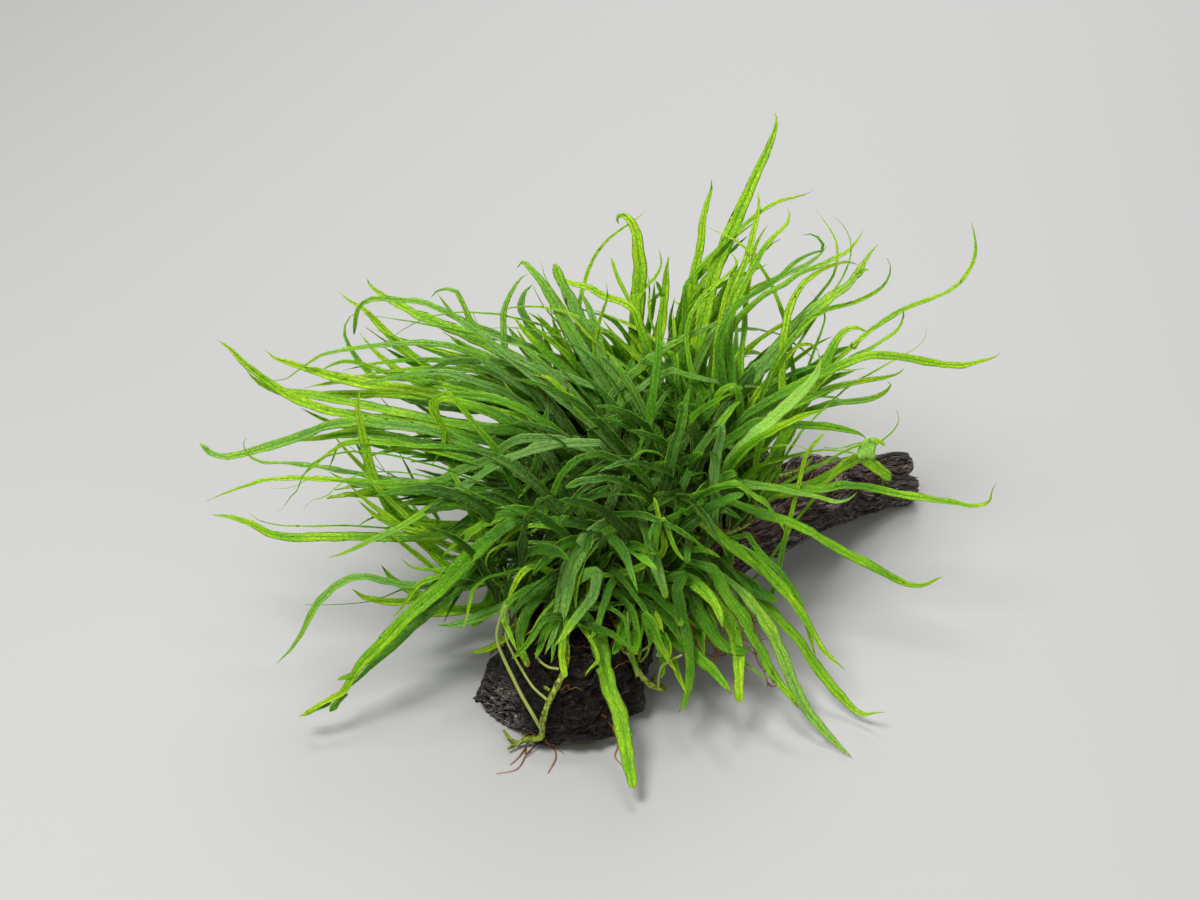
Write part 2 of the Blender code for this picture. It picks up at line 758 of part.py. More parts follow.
def rhizome_radius(share):
    """A rhizome swells and narrows a little, and tapers at both ends."""
    end = min(share, 1 - share) / 0.04
    return RHIZOME_RADIUS * min(0.45 + 0.55 * end, 1) * (1 + 0.08 * math.sin(40 * share))


def root_radius(share):
    return ROOT_RADIUS * (1 - 0.5 * share)


def main():
    clear_scene()
    collection = new_collection(COLLECTION)
    cutters = new_collection("joined parts", collection)
    wood = make_driftwood(collection)
    make_plants(wood, collection, cutters)


main()
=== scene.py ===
"""The looks of a narrow-leaf java fern on driftwood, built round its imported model. Metres, +Z up."""

import math
import random

import bpy
import numpy as np
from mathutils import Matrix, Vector, noise
from mathutils.bvhtree import BVHTree


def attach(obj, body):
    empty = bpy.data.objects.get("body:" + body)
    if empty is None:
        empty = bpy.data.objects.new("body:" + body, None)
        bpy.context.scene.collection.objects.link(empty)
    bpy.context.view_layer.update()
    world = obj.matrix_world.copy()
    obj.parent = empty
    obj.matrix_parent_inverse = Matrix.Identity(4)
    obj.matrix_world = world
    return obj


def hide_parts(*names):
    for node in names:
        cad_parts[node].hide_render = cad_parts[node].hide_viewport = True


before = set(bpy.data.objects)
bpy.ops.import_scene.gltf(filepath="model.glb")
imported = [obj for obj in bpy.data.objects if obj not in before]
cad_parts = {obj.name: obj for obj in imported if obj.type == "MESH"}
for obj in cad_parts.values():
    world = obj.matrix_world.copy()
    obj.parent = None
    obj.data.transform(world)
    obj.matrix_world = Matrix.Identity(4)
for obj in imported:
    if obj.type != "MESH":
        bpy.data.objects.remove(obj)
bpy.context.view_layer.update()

MM = 0.001
SEED = 11
noise.seed_set(SEED)  # vectors of noise would otherwise differ from one run to the next

# The photograph's view: one of its pixels is DRAWING_UNIT at VIEW_TARGET
VIEW_ELEVATION = math.radians(35)
VIEW_DISTANCE = 1417 * MM
VIEW_TARGET = Vector((12.5, 40, 124.6)) * MM
DRAWING_UNIT = 0.5 * MM
DRAWING_CENTRE = (600, 450)
LENS, SENSOR = 85, 36

RIGHT = Vector((1, 0, 0))
UP = Vector((0, 0, 1))
FORWARD = Vector((0, math.cos(VIEW_ELEVATION), -math.sin(VIEW_ELEVATION)))
VIEW_UP = Vector((0, math.sin(VIEW_ELEVATION), math.cos(VIEW_ELEVATION)))
VIEWER = VIEW_TARGET - VIEW_DISTANCE * FORWARD


def drawn_route(places):
    """The places of a text, in columns and rows of the photograph."""
    return [Vector([float(c) for c in place.split(",")]) for place in places.split()]


def rows_of(table):
    """For each row of a table of text, the text of its first columns and the route of the others."""
    for row in table.strip().splitlines():
        fields = row.split()
        first = [field for field in fields if "," not in field]
        yield (*first, drawn_route(" ".join(fields[len(first) :])))


# ---- the driftwood's and the rhizomes' form, as in the solids ----

# Sections along the wood: middle across, back and up, half width and half height in millimetres
WOOD_SECTIONS = (
    (-38, -25, 12, 18, 10),
    (-34, -21, 13, 28, 17),
    (-25, -14, 17, 41, 22),
    (-11, -6, 21, 42, 27),
    (5, 9, 25, 36, 28),
    (17, 24, 28, 32, 28),
    (33, 40, 36, 26, 22),
    (50, 57, 39, 23, 19),
    (68, 73, 39, 21, 18),
    (88, 92, 37, 20, 18),
    (110, 116, 33, 19.5, 17.5),
    (126, 133, 28, 18, 16.5),
    (140, 147, 23, 16, 15),
    (155, 158, 17, 14, 14),
    (168, 166.5, 13.5, 12.5, 13.2),
    (180, 173, 12, 11.5, 12),
    (188, 177, 12, 9.5, 10),
)
WOOD_LUMPS, WOOD_LEDGES, WOOD_RIDGES, RIDGES_ROUND = 0.16, 0.12, 0.045, 9
# The mesh has this many points round it and rings along it, as far as a share of its length, and more
# rings over each broken end
WOOD_SIDES, WOOD_STEPS, END_RINGS = 250, 270, 9
WOOD_LENGTH, WOOD_END = 330 * MM, 0.975
# Hollows of the wood, and knobs where the depth is below nought: share of its length, angle round it, reach,
# turn and depth in millimetres
DENTS = (
    (0.662, 123, 0.020, 0.32, 10.0),
    (0.676, 68, 0.035, 0.16, 4.0),
    (0.715, 97, 0.024, 0.35, -3.0),
    (0.975, 40, 0.030, 0.22, 8.0),
    (0.970, 100, 0.020, 0.20, 3.0),
    (0.018, 104, 0.022, 0.45, 5.0),
    (0.250, -30, 0.022, 0.36, -9.0),
    (0.205, -40, 0.020, 0.50, 3.0),
    (0.120, 20, 0.030, 0.35, 3.0),
    (0.330, 30, 0.025, 0.40, 3.0),
    (0.830, 60, 0.020, 0.40, 2.5),
    (0.550, 20, 0.020, 0.30, 2.5),
)
# The wood's outline as drawn, from its left knob round over the limb and back under the stump; where
# leaves hide it, the outline keeps clear of the wood
WOOD_OUTLINE = drawn_route("""
475,698 482,687 487,673 490,662 499,657 505,648 514,636 522,618 528,590 540,540 590,470 660,430 740,440
773,474 780,465 795,459 815,455 831,454 845,461 879,457 902,452 930,450 935,500 899,502 860,514 820,528
788,547 740,571 715,590 690,612 652,636 650,658 642,680 642,692 645,700 643,708 628,718 622,728 613,739
590,738 567,737 557,743 540,743 522,738 521,727 500,721 477,708
""")
# Splinters of the broken ends: half width and half thickness in millimetres, and drawn route outwards
SPLINTERS = """
3.0 1.3 866,464 882,461 896,457 908,458
2.8 1.4 876,486 892,484 904,482 915,483
2.4 1.3 880,494 896,493 908,491 918,494
3.0 1.6 506,704 494,700 486,697 477,698
"""
SPLINTER_STEPS, SPLINTER_SIDES = 22, 12
# The stump's pitted bulk, by share of the wood's length
BULK_START, BULK_END = 0.05, 0.36
# The wood is pale about its two broken ends, and grooved another way at the left one
PALE_KNOB, KNOB_REACH = Vector((-38, -27, 8)) * MM, 27 * MM
PALE_TIP, TIP_REACH = Vector((188, 176, 14)) * MM, 33 * MM
KNOB_GRAIN, KNOB_RINGS, KNOB_END = Vector((0.78, 0.15, -0.61)), 16, 0.075
GAP = 0.4 * MM
RHIZOME_RADIUS = 2.2 * MM
# The drawn free ends of two rhizomes, and how each rhizome creeps over the wood: at which side of it, and
# from which to which share of its length
FRONT_END = drawn_route("512,752 523,745 533,737 542,727 550,703 562,680 570,655")
SIDE_END = drawn_route("665,691 656,688 646,682 636,672 630,655")
SIDE_END_BACK = -22 * MM
CREEP = {
    "rhizome_left": (-0.66, 0.12, 0.60),
    "rhizome_middle": (-0.02, 0.21, 0.70),
    "rhizome_right": (0.64, 0.25, 0.66),
}
CREEP_STEPS = 11
# Short shoots of the rhizomes' free ends, and bare stalks that rise from them or hang from the limb, as
# drawn, with their radius in millimetres
SHOOTS = {
    "rhizome_middle": ("520,749 511,745 504,736", "531,741 526,733", "552,692 546,687", "514,751 508,754"),
    "rhizome_right": ("652,686 655,680", "660,690 666,694", "656,689 657,695"),
}
STALKS = """
1.0 541,729 533,715 523,698 512,676 503,657 497,640 499,622 506,605
0.75 547,700 533,687 522,670 512,652 506,638 508,620
0.75 559,669 548,667 540,661 535,653
1.0 638,676 634,660 631,645 628,628 628,605
0.75 658,688 659,676 661,668 669,661 682,655
0.6 640,662 645,657 649,648 648,636
"""
HANGING_STALKS = """
0.7 722,596 719,610 722,626 719,642 722,656
0.6 732,590 728,610 731,630 736,648
0.6 700,604 706,618 709,632 714,642
"""
# Roots as drawn: those that lie on the wood and the floor, and those that hang from the wood, further
# forward with each row they hang down; each of these has side roots, and each rhizome clinging ones
LYING_ROOTS = """
545,738 553,747 556,757 548,774
526,748 524,760 517,770 496,775
556,733 568,741 580,745 595,744
545,738 556,749 564,755
525,750 517,760 510,766
602,713 613,731 618,747 615,758 624,768
"""
HANGING_ROOTS = """
706,598 712,618 706,634 716,652 712,664
715,590 722,612 730,622 741,628 752,645
698,604 706,626 704,648 700,660 706,672
728,586 736,610 733,630 742,655
735,578 744,610 752,640 759,664 766,676 768,688
738,574 748,604 758,640 762,668
686,612 684,628 692,642 684,656
712,592 716,630 724,650 738,660 748,672
672,622 668,634 672,648 666,660
690,608 698,622 694,636 700,650
"""
HANG_FORWARD = 0.5 * MM
SIDE_ROOTS, CLINGING_ROOTS = 9, 70
# The limb is drawn bare from this column on, and the stump has few roots below this row
BARE_FROM, BARE_BELOW = 752, 668
# Leaves that stand on the bare limb have this share of their line led back off it
GATHERED_SHARE, GATHERED_STEPS = 0.45, 60
# How far back a drawn leaf's tip goes: a share of its drawn rise over that of a level leaf, and less than in
# step with its length; a leaf in front of the others comes nearer
LEVEL_RISE, BACK_PER_RISE, BACK_POWER, NEARER = 30 * MM, 0.62, 1.3, 30 * MM
STALK_WIDTH = 1.7 * MM
FLOOR_CLEARANCE = 1.2 * MM

# The leaves of the solids, in their order round the clump as it is drawn: name, tone from 0, lime, to 1,
# dark, kind, how many times as broad as in the solids, and, for most, the drawn route from the tip. Kinds:
# x blunt end, o old and browned, w wide from its foot, g grey painted sheen, p pale all over with painted
# sheen, - none of these. A long row runs on, indented
OUTER_LEAVES = """
leaf_left_01 .28 - 1 298,718 312,709 325,702 343,693 352,678 363,662 385,640 402,622 420,606 440,590
    460,568 480,548
leaf_left_02 .42 g .78 277,662 290,650 301,635 310,615 320,600 335,586 350,579 368,577 385,582 400,585
    430,587 470,580
leaf_left_03 .40 o 1 381,565 390,577 405,588 425,597 440,605 455,609 480,608 505,606
leaf_left_04 .30 - 1 211,514 230,516 252,524 268,533 285,537 320,537 360,536 400,537 440,536 470,530
leaf_left_05 .25 - 1 206,501 222,494 245,486 262,480 290,478 320,479 355,481 400,484
leaf_left_06 .35 g 1 246,438 243,446 250,457 263,463 290,464 320,467 350,473 385,480
leaf_left_07 .30 xg 1 201,444 212,455 228,458 250,453 275,445 300,437 330,425 360,421
leaf_left_08 .22 - 1 217,339 232,350 245,364 263,378 288,396 325,410 375,419 430,427
leaf_left_09 .12 - 1 263,350 274,359 300,367 330,376 360,384 400,388 440,395 490,412
leaf_left_10 .45 g 1 270,380 285,379 300,368 320,355 345,349 380,345 420,342 450,345 475,355
leaf_left_11 .15 - 1 359,391 357,410 361,430 366,450 371,470 379,490 395,515
leaf_left_12 .25 - 1 337,292 350,302 365,310 376,322 390,337 405,350 425,365 445,380 475,395
leaf_left_13 .26 - 1 367,277 370,286 385,296 400,305 420,316 445,326 470,336 495,348 520,362 545,382
leaf_top_01 .50 g 1 430,298 436,291 446,289 457,292 463,305 469,320 479,332 500,350
leaf_top_02 .50 g 1 508,330 525,350 545,367 565,384 585,408 600,430
leaf_top_03 .52 g 1.25 518,268 524,261 540,278 556,305 572,333 590,362 606,392 622,415 640,436
leaf_top_04 .60 g 1.25 533,284 524,293 520,308 530,328 540,344 553,395 557,420 562,440
leaf_top_05 .44 xg 1.05 555,263 561,280 570,298 581,320 592,345 602,368
leaf_top_06 .22 - 1 553,274 570,284 590,288 605,297 625,303 634,310
leaf_top_07 .22 - 1.45 619,224 616,217 622,214 630,219 636,232 638,250 640,270 639,290 637,312 637,345
leaf_top_08 .12 - 1.50 670,255 667,270 666,286 664,305 662,326 655,352
leaf_top_09 .08 - 1.30 711,178 712,188 707,203 703,220 702,238 698,258 693,280 692,300 697,322
leaf_right_17 .20 - .75 814,191 808,195 796,198 778,202 762,211 748,222 735,234 720,248 705,262 685,285
leaf_right_16 .20 - 1.35 774,111 777,120 773,135 767,150 759,167 751,185 744,203 736,220 727,240 718,262
    711,285 700,330
leaf_right_15 .28 g 1 829,246 820,256 806,266 790,273 772,282 752,293 730,306
leaf_right_14 .05 p 1.60 819,352 823,366 815,378 800,393 785,408 771,421 755,434 743,447
leaf_right_13 .32 g 1.35 879,244 872,252 865,262 858,273 850,284 830,298 816,308 800,324 785,341 768,360
    750,378
leaf_right_12 .22 - .72 970,218 974,233 976,250 972,264 963,279 950,290 935,297 915,304 900,311 885,320
    870,330 842,355
leaf_right_11 .22 - 1 1000,352 994,357 979,361 963,365 944,364 924,361 906,358 889,355 870,355 854,359
    837,366 815,376
leaf_right_10 .55 - 1 868,438 860,433 844,429 825,426 799,425 780,424 755,422
leaf_right_09 .28 - 1 996,483 992,492 992,500 984,505 970,506 950,502 930,499 908,496 882,491 860,486
    841,486 820,490
leaf_right_08 .30 - 1 944,577 937,579 930,583 920,586 906,584 890,576 870,565 850,555 830,543 809,531
    790,522 770,516
leaf_right_07 .40 - .62 817,658 812,640 806,620 801,605 792,588 778,570 762,555 748,535
leaf_right_06 .45 - 1 779,577 776,580 768,578 755,566 740,553 720,537 701,520 680,506 662,497
leaf_right_05 .27 - 1 884,712 876,713 866,715 857,712 847,703 835,690 822,674 812,660 800,642 784,625
    769,608
leaf_right_04 .14 g 1 852,757 840,747 824,732 809,714 799,696 791,677 782,655 771,632 757,610 742,592
leaf_right_03 .16 x 1.45 740,703 739,675 738,650 733,630 724,613 712,600
leaf_right_02 .45 o 1 799,711 790,696 780,685 768,666 757,645 746,623 734,604 721,585 713,568
leaf_right_01 .55 - 1.10 677,713 684,704 689,685 690,660 688,640 682,615 677,590
leaf_front_01 .26 xw 1 634,787 628,755 623,732 618,710 610,690 605,670 603,655 597,636 585,622
leaf_front_02 .30 x .80
leaf_front_03 .45 xo 1
leaf_front_04 .50 g 1 545,656 554,635 558,617 563,590 566,570 574,553 584,536
leaf_front_05 .50 g 1 437,625 450,626 468,622 490,614 510,604 530,592 550,576 570,565
leaf_front_06 .55 - 1 453,536 464,543 470,533 485,522 504,515 526,512 552,509 568,503 584,509
leaf_front_07 .50 g .78 328,558 345,553 370,541 395,530 420,515 440,502 464,487 488,470 512,457 536,449
    560,444 600,443
leaf_front_08 .55 - 1 515,538 530,533 540,527 546,513 552,496 560,478 570,465 582,457 599,453
leaf_back_01 .40 - 1
leaf_back_02 .45 - 1
leaf_back_03 .35 - 1
leaf_back_04 .40 - 1
"""
# Reddish-brown spots on the leaves, as drawn: place and reach across and along
SPOTS = (
    (566, 303, 1.2, 6), (566, 378, 1.2, 6), (568, 390, 1.0, 3), (543, 388, 1.6, 3), (545, 396, 1.2, 3),
    (702, 412, 1.2, 2), (690, 432, 2, 1.2), (676, 438, 2, 1.2), (489, 375, 1, 2),
)
# More leaves grow beside each of these, by side, and small ones on each rhizome; their widths in
# millimetres, and how many of them have a blunt end
BETWEEN = {"left": 9, "top": 11, "right": 6, "front": 6, "back": 6}
SMALL_LEAVES, HEM_LEAVES = 46, 30
BETWEEN_WIDTHS, BETWEEN_BLUNT = (3.2, 6.6), 0.12
SMALL_WIDTHS, SMALL_BLUNT = (3.6, 7.0), 0.20
# The clump is painted with shade in its middle, and so are the feet of its leaves
PAINTED_SHADE_MIDDLE, PAINTED_SHADE_REACH, LESS_SHADE_ABOVE = (610, 470), (310, 260), 335
FEET_MIDDLE, FEET_REACH, PAINTED_FEET_SHADE = (560, 440), (230, 150), 0.60
# A blade that twists and cups looks narrower than it is, so it is this much broader than in the solids and
# than it is drawn
BROADER, TRACED_BROADER = 1.10, 1.30
# How much lighter a leaf is at its tip than at its foot: partly its own colour, partly painted light on the
# tip and painted shade at the foot
FADE, LOBE_FADE = 0.62, 0.10
# The clump's closed mass as drawn: leaves outside it are only the traced ones
CLOSED_MASS = drawn_route("""
296,372 318,350 345,338 362,306 395,296 440,302 470,322 498,318 508,285 525,262 552,266 580,288 604,300
612,262 640,250 668,262 690,225 716,196 748,190 766,222 800,222 832,240 856,268 872,290 884,306 880,338
864,366 848,386 834,408 806,430 776,444 764,470 752,500 748,545 756,580 752,615 736,650 708,676 680,694
640,686 602,668 560,660 520,662 480,650 440,628 405,622 398,598 425,570 400,548 360,538 325,520 322,486
300,468 318,442 290,428 296,396
""")
# Where the tips of the leaves that hang over the front reach, as drawn
HEM = drawn_route("""
452,626 478,640 500,655 528,664 548,658 575,664 603,668 640,684 680,698 720,692 750,684 775,640 790,600
""")

# More leaves that the photograph shows: the leaf of the solids beside which each grows, its width in
# millimetres, tone, kind and drawn route. Kinds: t route runs from the tip, b from the base; l a lobe that
# grows out of a blade there; f in front of the others; x, o, g and p as above
TRACED = """
left_08 5.0 .20 t 243,369 255,381 276,391 310,395 350,403 390,411 440,420
left_10 3.5 .30 t 318,368 330,362 347,358 368,364 390,372 420,380
left_09 3.5 .10 t 316,366 335,373 360,379 390,386 430,396
left_09 3.5 .66 tg 357,383 385,380 415,374 447,373 480,383 510,396 540,420
left_10 3.0 .60 tg 400,376 430,369 450,361 475,360
left_07 4.0 .45 t 290,443 330,437 365,434 410,440
left_07 3.0 .35 t 327,471 333,457 338,445 350,441 375,441 410,446
left_07 2.5 .40 t 297,476 315,463 328,452 345,444 380,444
left_04 1.0 .40 t 247,509 256,518 275,524 310,526 345,526 385,529 410,530
left_01 4.5 .72 t 349,688 376,661 398,640 420,620 445,600 470,583 495,566
left_02 3.5 .12 t 352,589 362,597 380,601 410,600 430,595 455,588
left_02 1.0 .35 t 306,603 350,603 380,599 402,590 425,585
left_01 2.5 .30 t 392,620 400,610 407,600 413,590
left_03 2.0 .35 t 402,558 410,566 425,570 445,569 465,567
front_05 2.5 .35 t 462,631 466,620 469,605 473,590 485,580 500,575
front_05 3.5 .20 t 466,649 480,650 493,646 507,636 518,628 528,620
left_05 0.9 .35 t 272,489 290,488 300,485 307,480 340,482
left_04 0.9 .35 t 272,516 280,512 288,500 296,492 300,480
left_05 0.9 .35 t 302,511 310,501 325,497 333,490 340,484
front_07 4.0 .42 tg 326,470 345,480 370,486 400,488 440,481 464,469 488,459 517,440 568,443
left_06 5.0 .16 tf 359,391 357,410 361,430 366,450 371,470 379,490 395,515
left_11 3.0 .12 t 330,432 345,450 370,475 400,510
left_11 3.0 .14 t 372,452 392,480 412,505 440,532
left_11 3.5 .20 t 398,450 412,478 428,505 446,530
left_07 3.5 .24 t 455,470 450,443 438,420 430,404 440,396 470,396
left_07 3.5 .30 t 430,464 440,450 444,430 436,412
left_04 3.5 .10 t 348,486 372,506 398,524 424,545 448,566
left_04 3.0 .18 t 362,470 384,494 408,516 436,540
left_04 2.5 .08 t 385,528 405,545 428,562 452,580
left_04 3.0 .15 t 355,498 375,515 395,525 410,530
left_12 2.8 .34 txg 355,334 357,318 361,305 372,299 400,300 425,303 450,315
left_12 4.0 .38 tg 360,312 348,320 345,333 352,350 362,366
top_01 3.5 .48 tg 437,293 446,305 455,317 463,322 485,340
left_13 1.0 .40 t 362,314 390,318 420,323
left_13 1.0 .40 t 380,345 397,333 415,323
left_12 4.5 .18 t 363,334 372,346 385,360 402,373 425,388
left_12 2.0 .25 t 370,328 385,334 405,340
left_13 3.0 .25 t 400,353 415,362 430,374
top_03 3.5 .50 tg 527,273 520,278 512,290 505,305 503,330 505,352
top_04 1.5 .45 t 498,312 503,309 520,306
top_03 1.5 .50 t 533,285 541,302 553,317 560,323
top_05 1.5 .10 t 543,260 546,275 560,300
top_05 4.6 .50 tg 575,290 588,310 595,332 600,352
top_06 2.5 .20 t 592,309 612,318 632,327
top_06 2.5 .25 t 600,318 612,333 622,343
top_07 2.0 .30 t 647,211 636,220 622,229 608,240 597,254 588,273 582,293 576,318
top_07 2.5 .25 tx 612,262 616,276 623,291 631,305 641,330
top_06 3.0 .25 t 605,279 607,292 603,308 598,323 594,342
top_08 2.5 .20 t 658,245 661,263 653,278 645,286
top_07 1.5 .20 t 648,273 650,292 649,305
top_02 0.9 .45 t 471,311 478,325 490,335 505,342 525,348
top_02 0.9 .45 t 480,331 500,329 530,330 547,333
top_02 4.5 .28 t 534,375 548,378 562,390 575,403 585,416 592,430 596,442
left_13 5.0 .36 tg 506,325 516,338 527,352 541,366 558,377 578,388 598,399 614,410 628,423 642,436 656,446
right_14 3.0 .45 tg 680,388 665,394 655,401 648,411 642,426
top_04 2.5 .80 t 550,385 548,410 551,436
top_04 2.5 .85 t 556,398 556,420 561,442
left_10 4.0 .75 t 480,428 510,430 535,437 560,446
top_05 4.5 .85 b 622,490 616,470 608,445 602,420
top_06 4.5 .90 b 632,490 630,465 626,440 618,415
top_08 4.5 .80 b 648,480 650,455 652,430 650,405
right_17 4.0 .80 b 662,480 672,455 682,430 690,405
right_17 3.5 .60 b 690,482 700,452 712,422 722,392
right_17 0.6 .60 bo 655,446 672,438 690,430 705,416 714,404
right_06 1.5 .45 t 670,478 668,464 655,453 641,452 630,464
top_08 3.0 .30 b 634,490 633,470 640,456 652,451
front_04 6.5 .52 bg 604,528 590,538 578,556 570,575 566,598 562,622
top_02 4.0 .26 tg 503,385 515,401 530,418 544,436
right_15 4.5 .48 tg 740,312 715,324 690,335 665,349 640,368 612,393
right_14 4.0 .62 tg 765,386 735,384 712,380 688,375 672,371 655,378 635,392 612,412 600,430
top_08 1.5 .45 tg 677,340 650,342 634,357 617,369 600,367
right_14 2.5 .70 t 683,417 667,413 645,411 628,408
right_16 3.5 .22 t 754,193 756,206 754,220 751,238 747,255 741,273 733,295 725,320
right_17 2.5 .30 t 768,224 762,233 755,247 752,262
right_17 4.0 .35 t 787,206 791,215 786,225 774,236 762,251 754,266 746,282 735,305
right_16 2.5 .20 t 729,253 735,256 738,263 733,275
right_16 2.5 .25 t 742,256 733,270 722,280 700,300
top_09 2.0 .20 t 706,226 714,231 723,234
right_15 3.5 .60 t 802,236 812,235 821,242 824,250 812,254 795,263 780,277 762,290 740,303
right_15 3.0 .30 t 863,228 859,236 850,248 835,258 817,266 801,273 786,283 765,296 745,312
right_15 3.5 .12 t 859,265 848,262 833,265 819,271
right_13 1.6 .30 t 819,209 828,223 836,237 839,252 837,266 832,278 824,288 812,302 800,315
right_13 1.2 .30 t 830,217 842,226 849,238 851,250 848,265 841,280 830,296
right_13 2.5 .45 to 888,259 891,268 889,277 880,289 868,296 855,302 840,306 827,310
right_12 2.5 .25 t 904,300 904,315 898,328 885,338 872,347 855,354
right_12 1.3 .20 t 926,328 925,337 914,349 904,355 888,364 871,374 855,382
right_11 3.5 .20 t 907,367 902,372 887,377 865,381 845,385 826,390 805,400 780,412
right_11 1.5 .30 t 867,368 855,370 838,370
right_11 3.5 .35 t 889,384 892,387 888,393 881,397 865,401 847,402 826,405 807,412 785,422
right_10 1.0 .30 t 893,411 896,420 892,430 885,437 878,443
right_10 4.4 .16 tx 868,446 865,454 856,460 842,467 826,478 806,488
right_10 1.5 .25 t 887,484 880,477 872,466 862,458
right_09 4.0 .46 tg 857,492 849,499 840,501 819,497 799,493 775,488 745,484 715,482
right_08 2.2 .36 tx 822,434 813,444 805,456 800,475 797,490 792,510 787,530 781,555 774,588 768,606
right_09 1.5 .10 t 860,451 841,463 825,485 814,499 796,521 785,537 770,558 759,574 749,583
right_10 1.3 .25 t 823,446 835,448 850,446 859,443
right_10 2.0 .30 t 822,449 800,454 784,458 765,463
right_10 1.5 .35 t 808,445 800,443 781,444 765,449
right_10 1.8 .25 t 787,429 775,447 765,463
right_10 5.6 .02 tfp 821,359 816,374 803,391 788,406 773,420 757,433 743,447 733,458
right_14 3.0 .15 t 747,394 748,405 743,416 735,430 731,445 729,460
right_14 3.5 .30 t 714,436 716,420 717,407 719,394 725,388
right_13 1.3 .30 t 811,293 821,304 825,318 822,330 815,347
right_13 3.0 .20 t 822,350 810,343 798,346 787,357
right_12 6.0 .30 t 867,331 856,327 845,330 836,340 830,353 820,370
right_14 4.0 .20 t 828,340 829,352 821,364 810,385
front_08 1.5 .15 t 592,457 608,469 624,484
front_08 2.5 .80 t 568,541 565,512 560,490
front_02 3.0 .15 bx 664,548 660,526 655,497
right_06 4.5 .50 t 675,507 655,514 642,522 634,533 632,555
right_06 2.5 .45 t 705,477 688,484 665,482 640,482 620,486 600,492
top_04 3.0 .75 t 547,458 561,451 580,449
top_04 2.5 .20 t 520,465 535,470 560,470
top_02 2.5 .40 t 538,488 549,480 557,473
left_13 3.0 .70 t 495,473 502,489 510,505
left_09 2.5 .20 t 475,501 490,505 508,509
front_05 2.0 .20 t 488,558 503,541 513,531
front_05 1.5 .30 t 501,585 489,573 486,562
front_03 3.5 .40 t 508,600 512,592 519,577 530,567 545,570 560,575
right_01 2.5 .40 t 691,566 683,560 675,549 670,536 665,522
right_01 4.5 .30 txg 668,598 664,585 660,573 655,560
right_07 4.5 .58 tg 694,595 700,570 708,545 714,520 714,490 716,460 722,430
right_07 3.5 .45 t 785,535 780,524 772,513 764,503 754,497 745,490 735,484 717,488
right_07 4.5 .36 b 755,560 770,576 789,597 800,613 812,630 825,651 838,662 847,669
right_08 7.0 .80 b 715,565 742,583 760,593 780,602
right_02 6.0 .65 bo 690,590 697,610 708,626 720,641 733,649 745,650 752,646
right_02 1.5 .30 b 735,655 750,668 765,680 775,683
right_01 5.0 .35 bo 655,630 680,645 697,655 709,666 721,679 732,693
right_01 6.5 .50 bg 640,590 648,612 655,633 663,650 655,656
right_01 3.0 .35 b 662,650 672,659 679,676 689,693
front_04 4.5 .40 b 620,526 608,530 597,541 587,553 580,568 576,588 577,610
front_02 4.5 .40 bg 598,575 594,594 584,608 574,620 565,632 556,643
front_03 3.5 .45 b 503,618 510,634 516,648
front_03 1.5 .20 b 538,621 533,629 525,632
front_01 1.6 .15 b 597,661 588,669 581,675
front_01 2.0 .45 bo 625,620 629,643 634,662 637,680
front_01 3.0 .48 b 632,611 637,630 639,650 638,667
front_06 6.5 .08 b 624,557 624,535 628,511 627,487
front_06 4.0 .08 l 627,515 614,512 602,514
left_01 4.5 .25 l 345,692 336,704 329,712
left_01 3.0 .25 l 358,674 347,677 337,679
left_01 3.0 .30 l 331,701 316,709 302,716
top_08 2.5 .20 l 663,297 660,289 657,281
top_08 2.0 .20 l 663,292 656,297 650,302
right_13 3.0 .25 l 857,277 863,271 869,269
right_17 2.5 .30 l 766,250 773,243 780,239
right_12 3.0 .25 l 850,345 855,349 859,343
right_10 8.0 .06 lpx 866,459 868,448 871,438
right_10 2.8 .06 lx 868,440 877,441 884,446
right_10 5.5 .14 lx 860,456 871,464 881,472 890,479
right_10 2.0 .10 l 874,461 884,469 892,474
right_10 1.2 .20 l 870,466 880,474 884,488
right_14 6.0 .12 b 740,490 748,482 757,474 771,466
right_14 5.0 .12 l 753,478 760,480 768,482
right_14 4.0 .12 l 750,480 748,472 745,464
"""


# ---- curves and the view of the drawing ----

CURVE_STEPS = 12


def smooth(points, steps):
    """Points evenly spaced along a smooth curve through the given ones."""
    gaps = [max((b - a).length, 1e-6) for a, b in zip(points, points[1:])]
    rises = [(b - a) / gap for a, b, gap in zip(points, points[1:], gaps)]
    slopes = [rises[0]]
    for before, after, gap, next_gap in zip(rises, rises[1:], gaps, gaps[1:]):
        slopes.append((before * next_gap + after * gap) / (next_gap + gap))
    slopes.append(rises[-1])
    fine = [points[0]]
    for i, gap in enumerate(gaps):
        for k in range(1, CURVE_STEPS + 1):
            t = k / CURVE_STEPS
            a = 2 * t**3 - 3 * t**2 + 1
            b = t**3 - 2 * t**2 + t
            c = 3 * t**2 - 2 * t**3
            d = t**3 - t**2
            fine.append(points[i] * a + slopes[i] * (b * gap) + points[i + 1] * c + slopes[i + 1] * (d * gap))
    return evenly(fine, steps)


def evenly(points, steps):
    """steps + 1 points at equal distances along a line of points."""
    lengths = [0]
    for a, b in zip(points, points[1:]):
        lengths.append(lengths[-1] + (b - a).length)
    spaced, i = [], 0
    for k in range(steps + 1):
        at = lengths[-1] * k / steps
        while i < len(points) - 2 and lengths[i + 1] < at:
            i += 1
        share = (at - lengths[i]) / max(lengths[i + 1] - lengths[i], 1e-9)
        spaced.append(points[i].lerp(points[i + 1], min(share, 1)))
    return spaced


def length_of(line):
    return sum((b - a).length for a, b in zip(line, line[1:]))


def tangents(line):
    last = len(line) - 1
    return [(line[min(i + 1, last)] - line[max(i - 1, 0)]).normalized() for i in range(last + 1)]


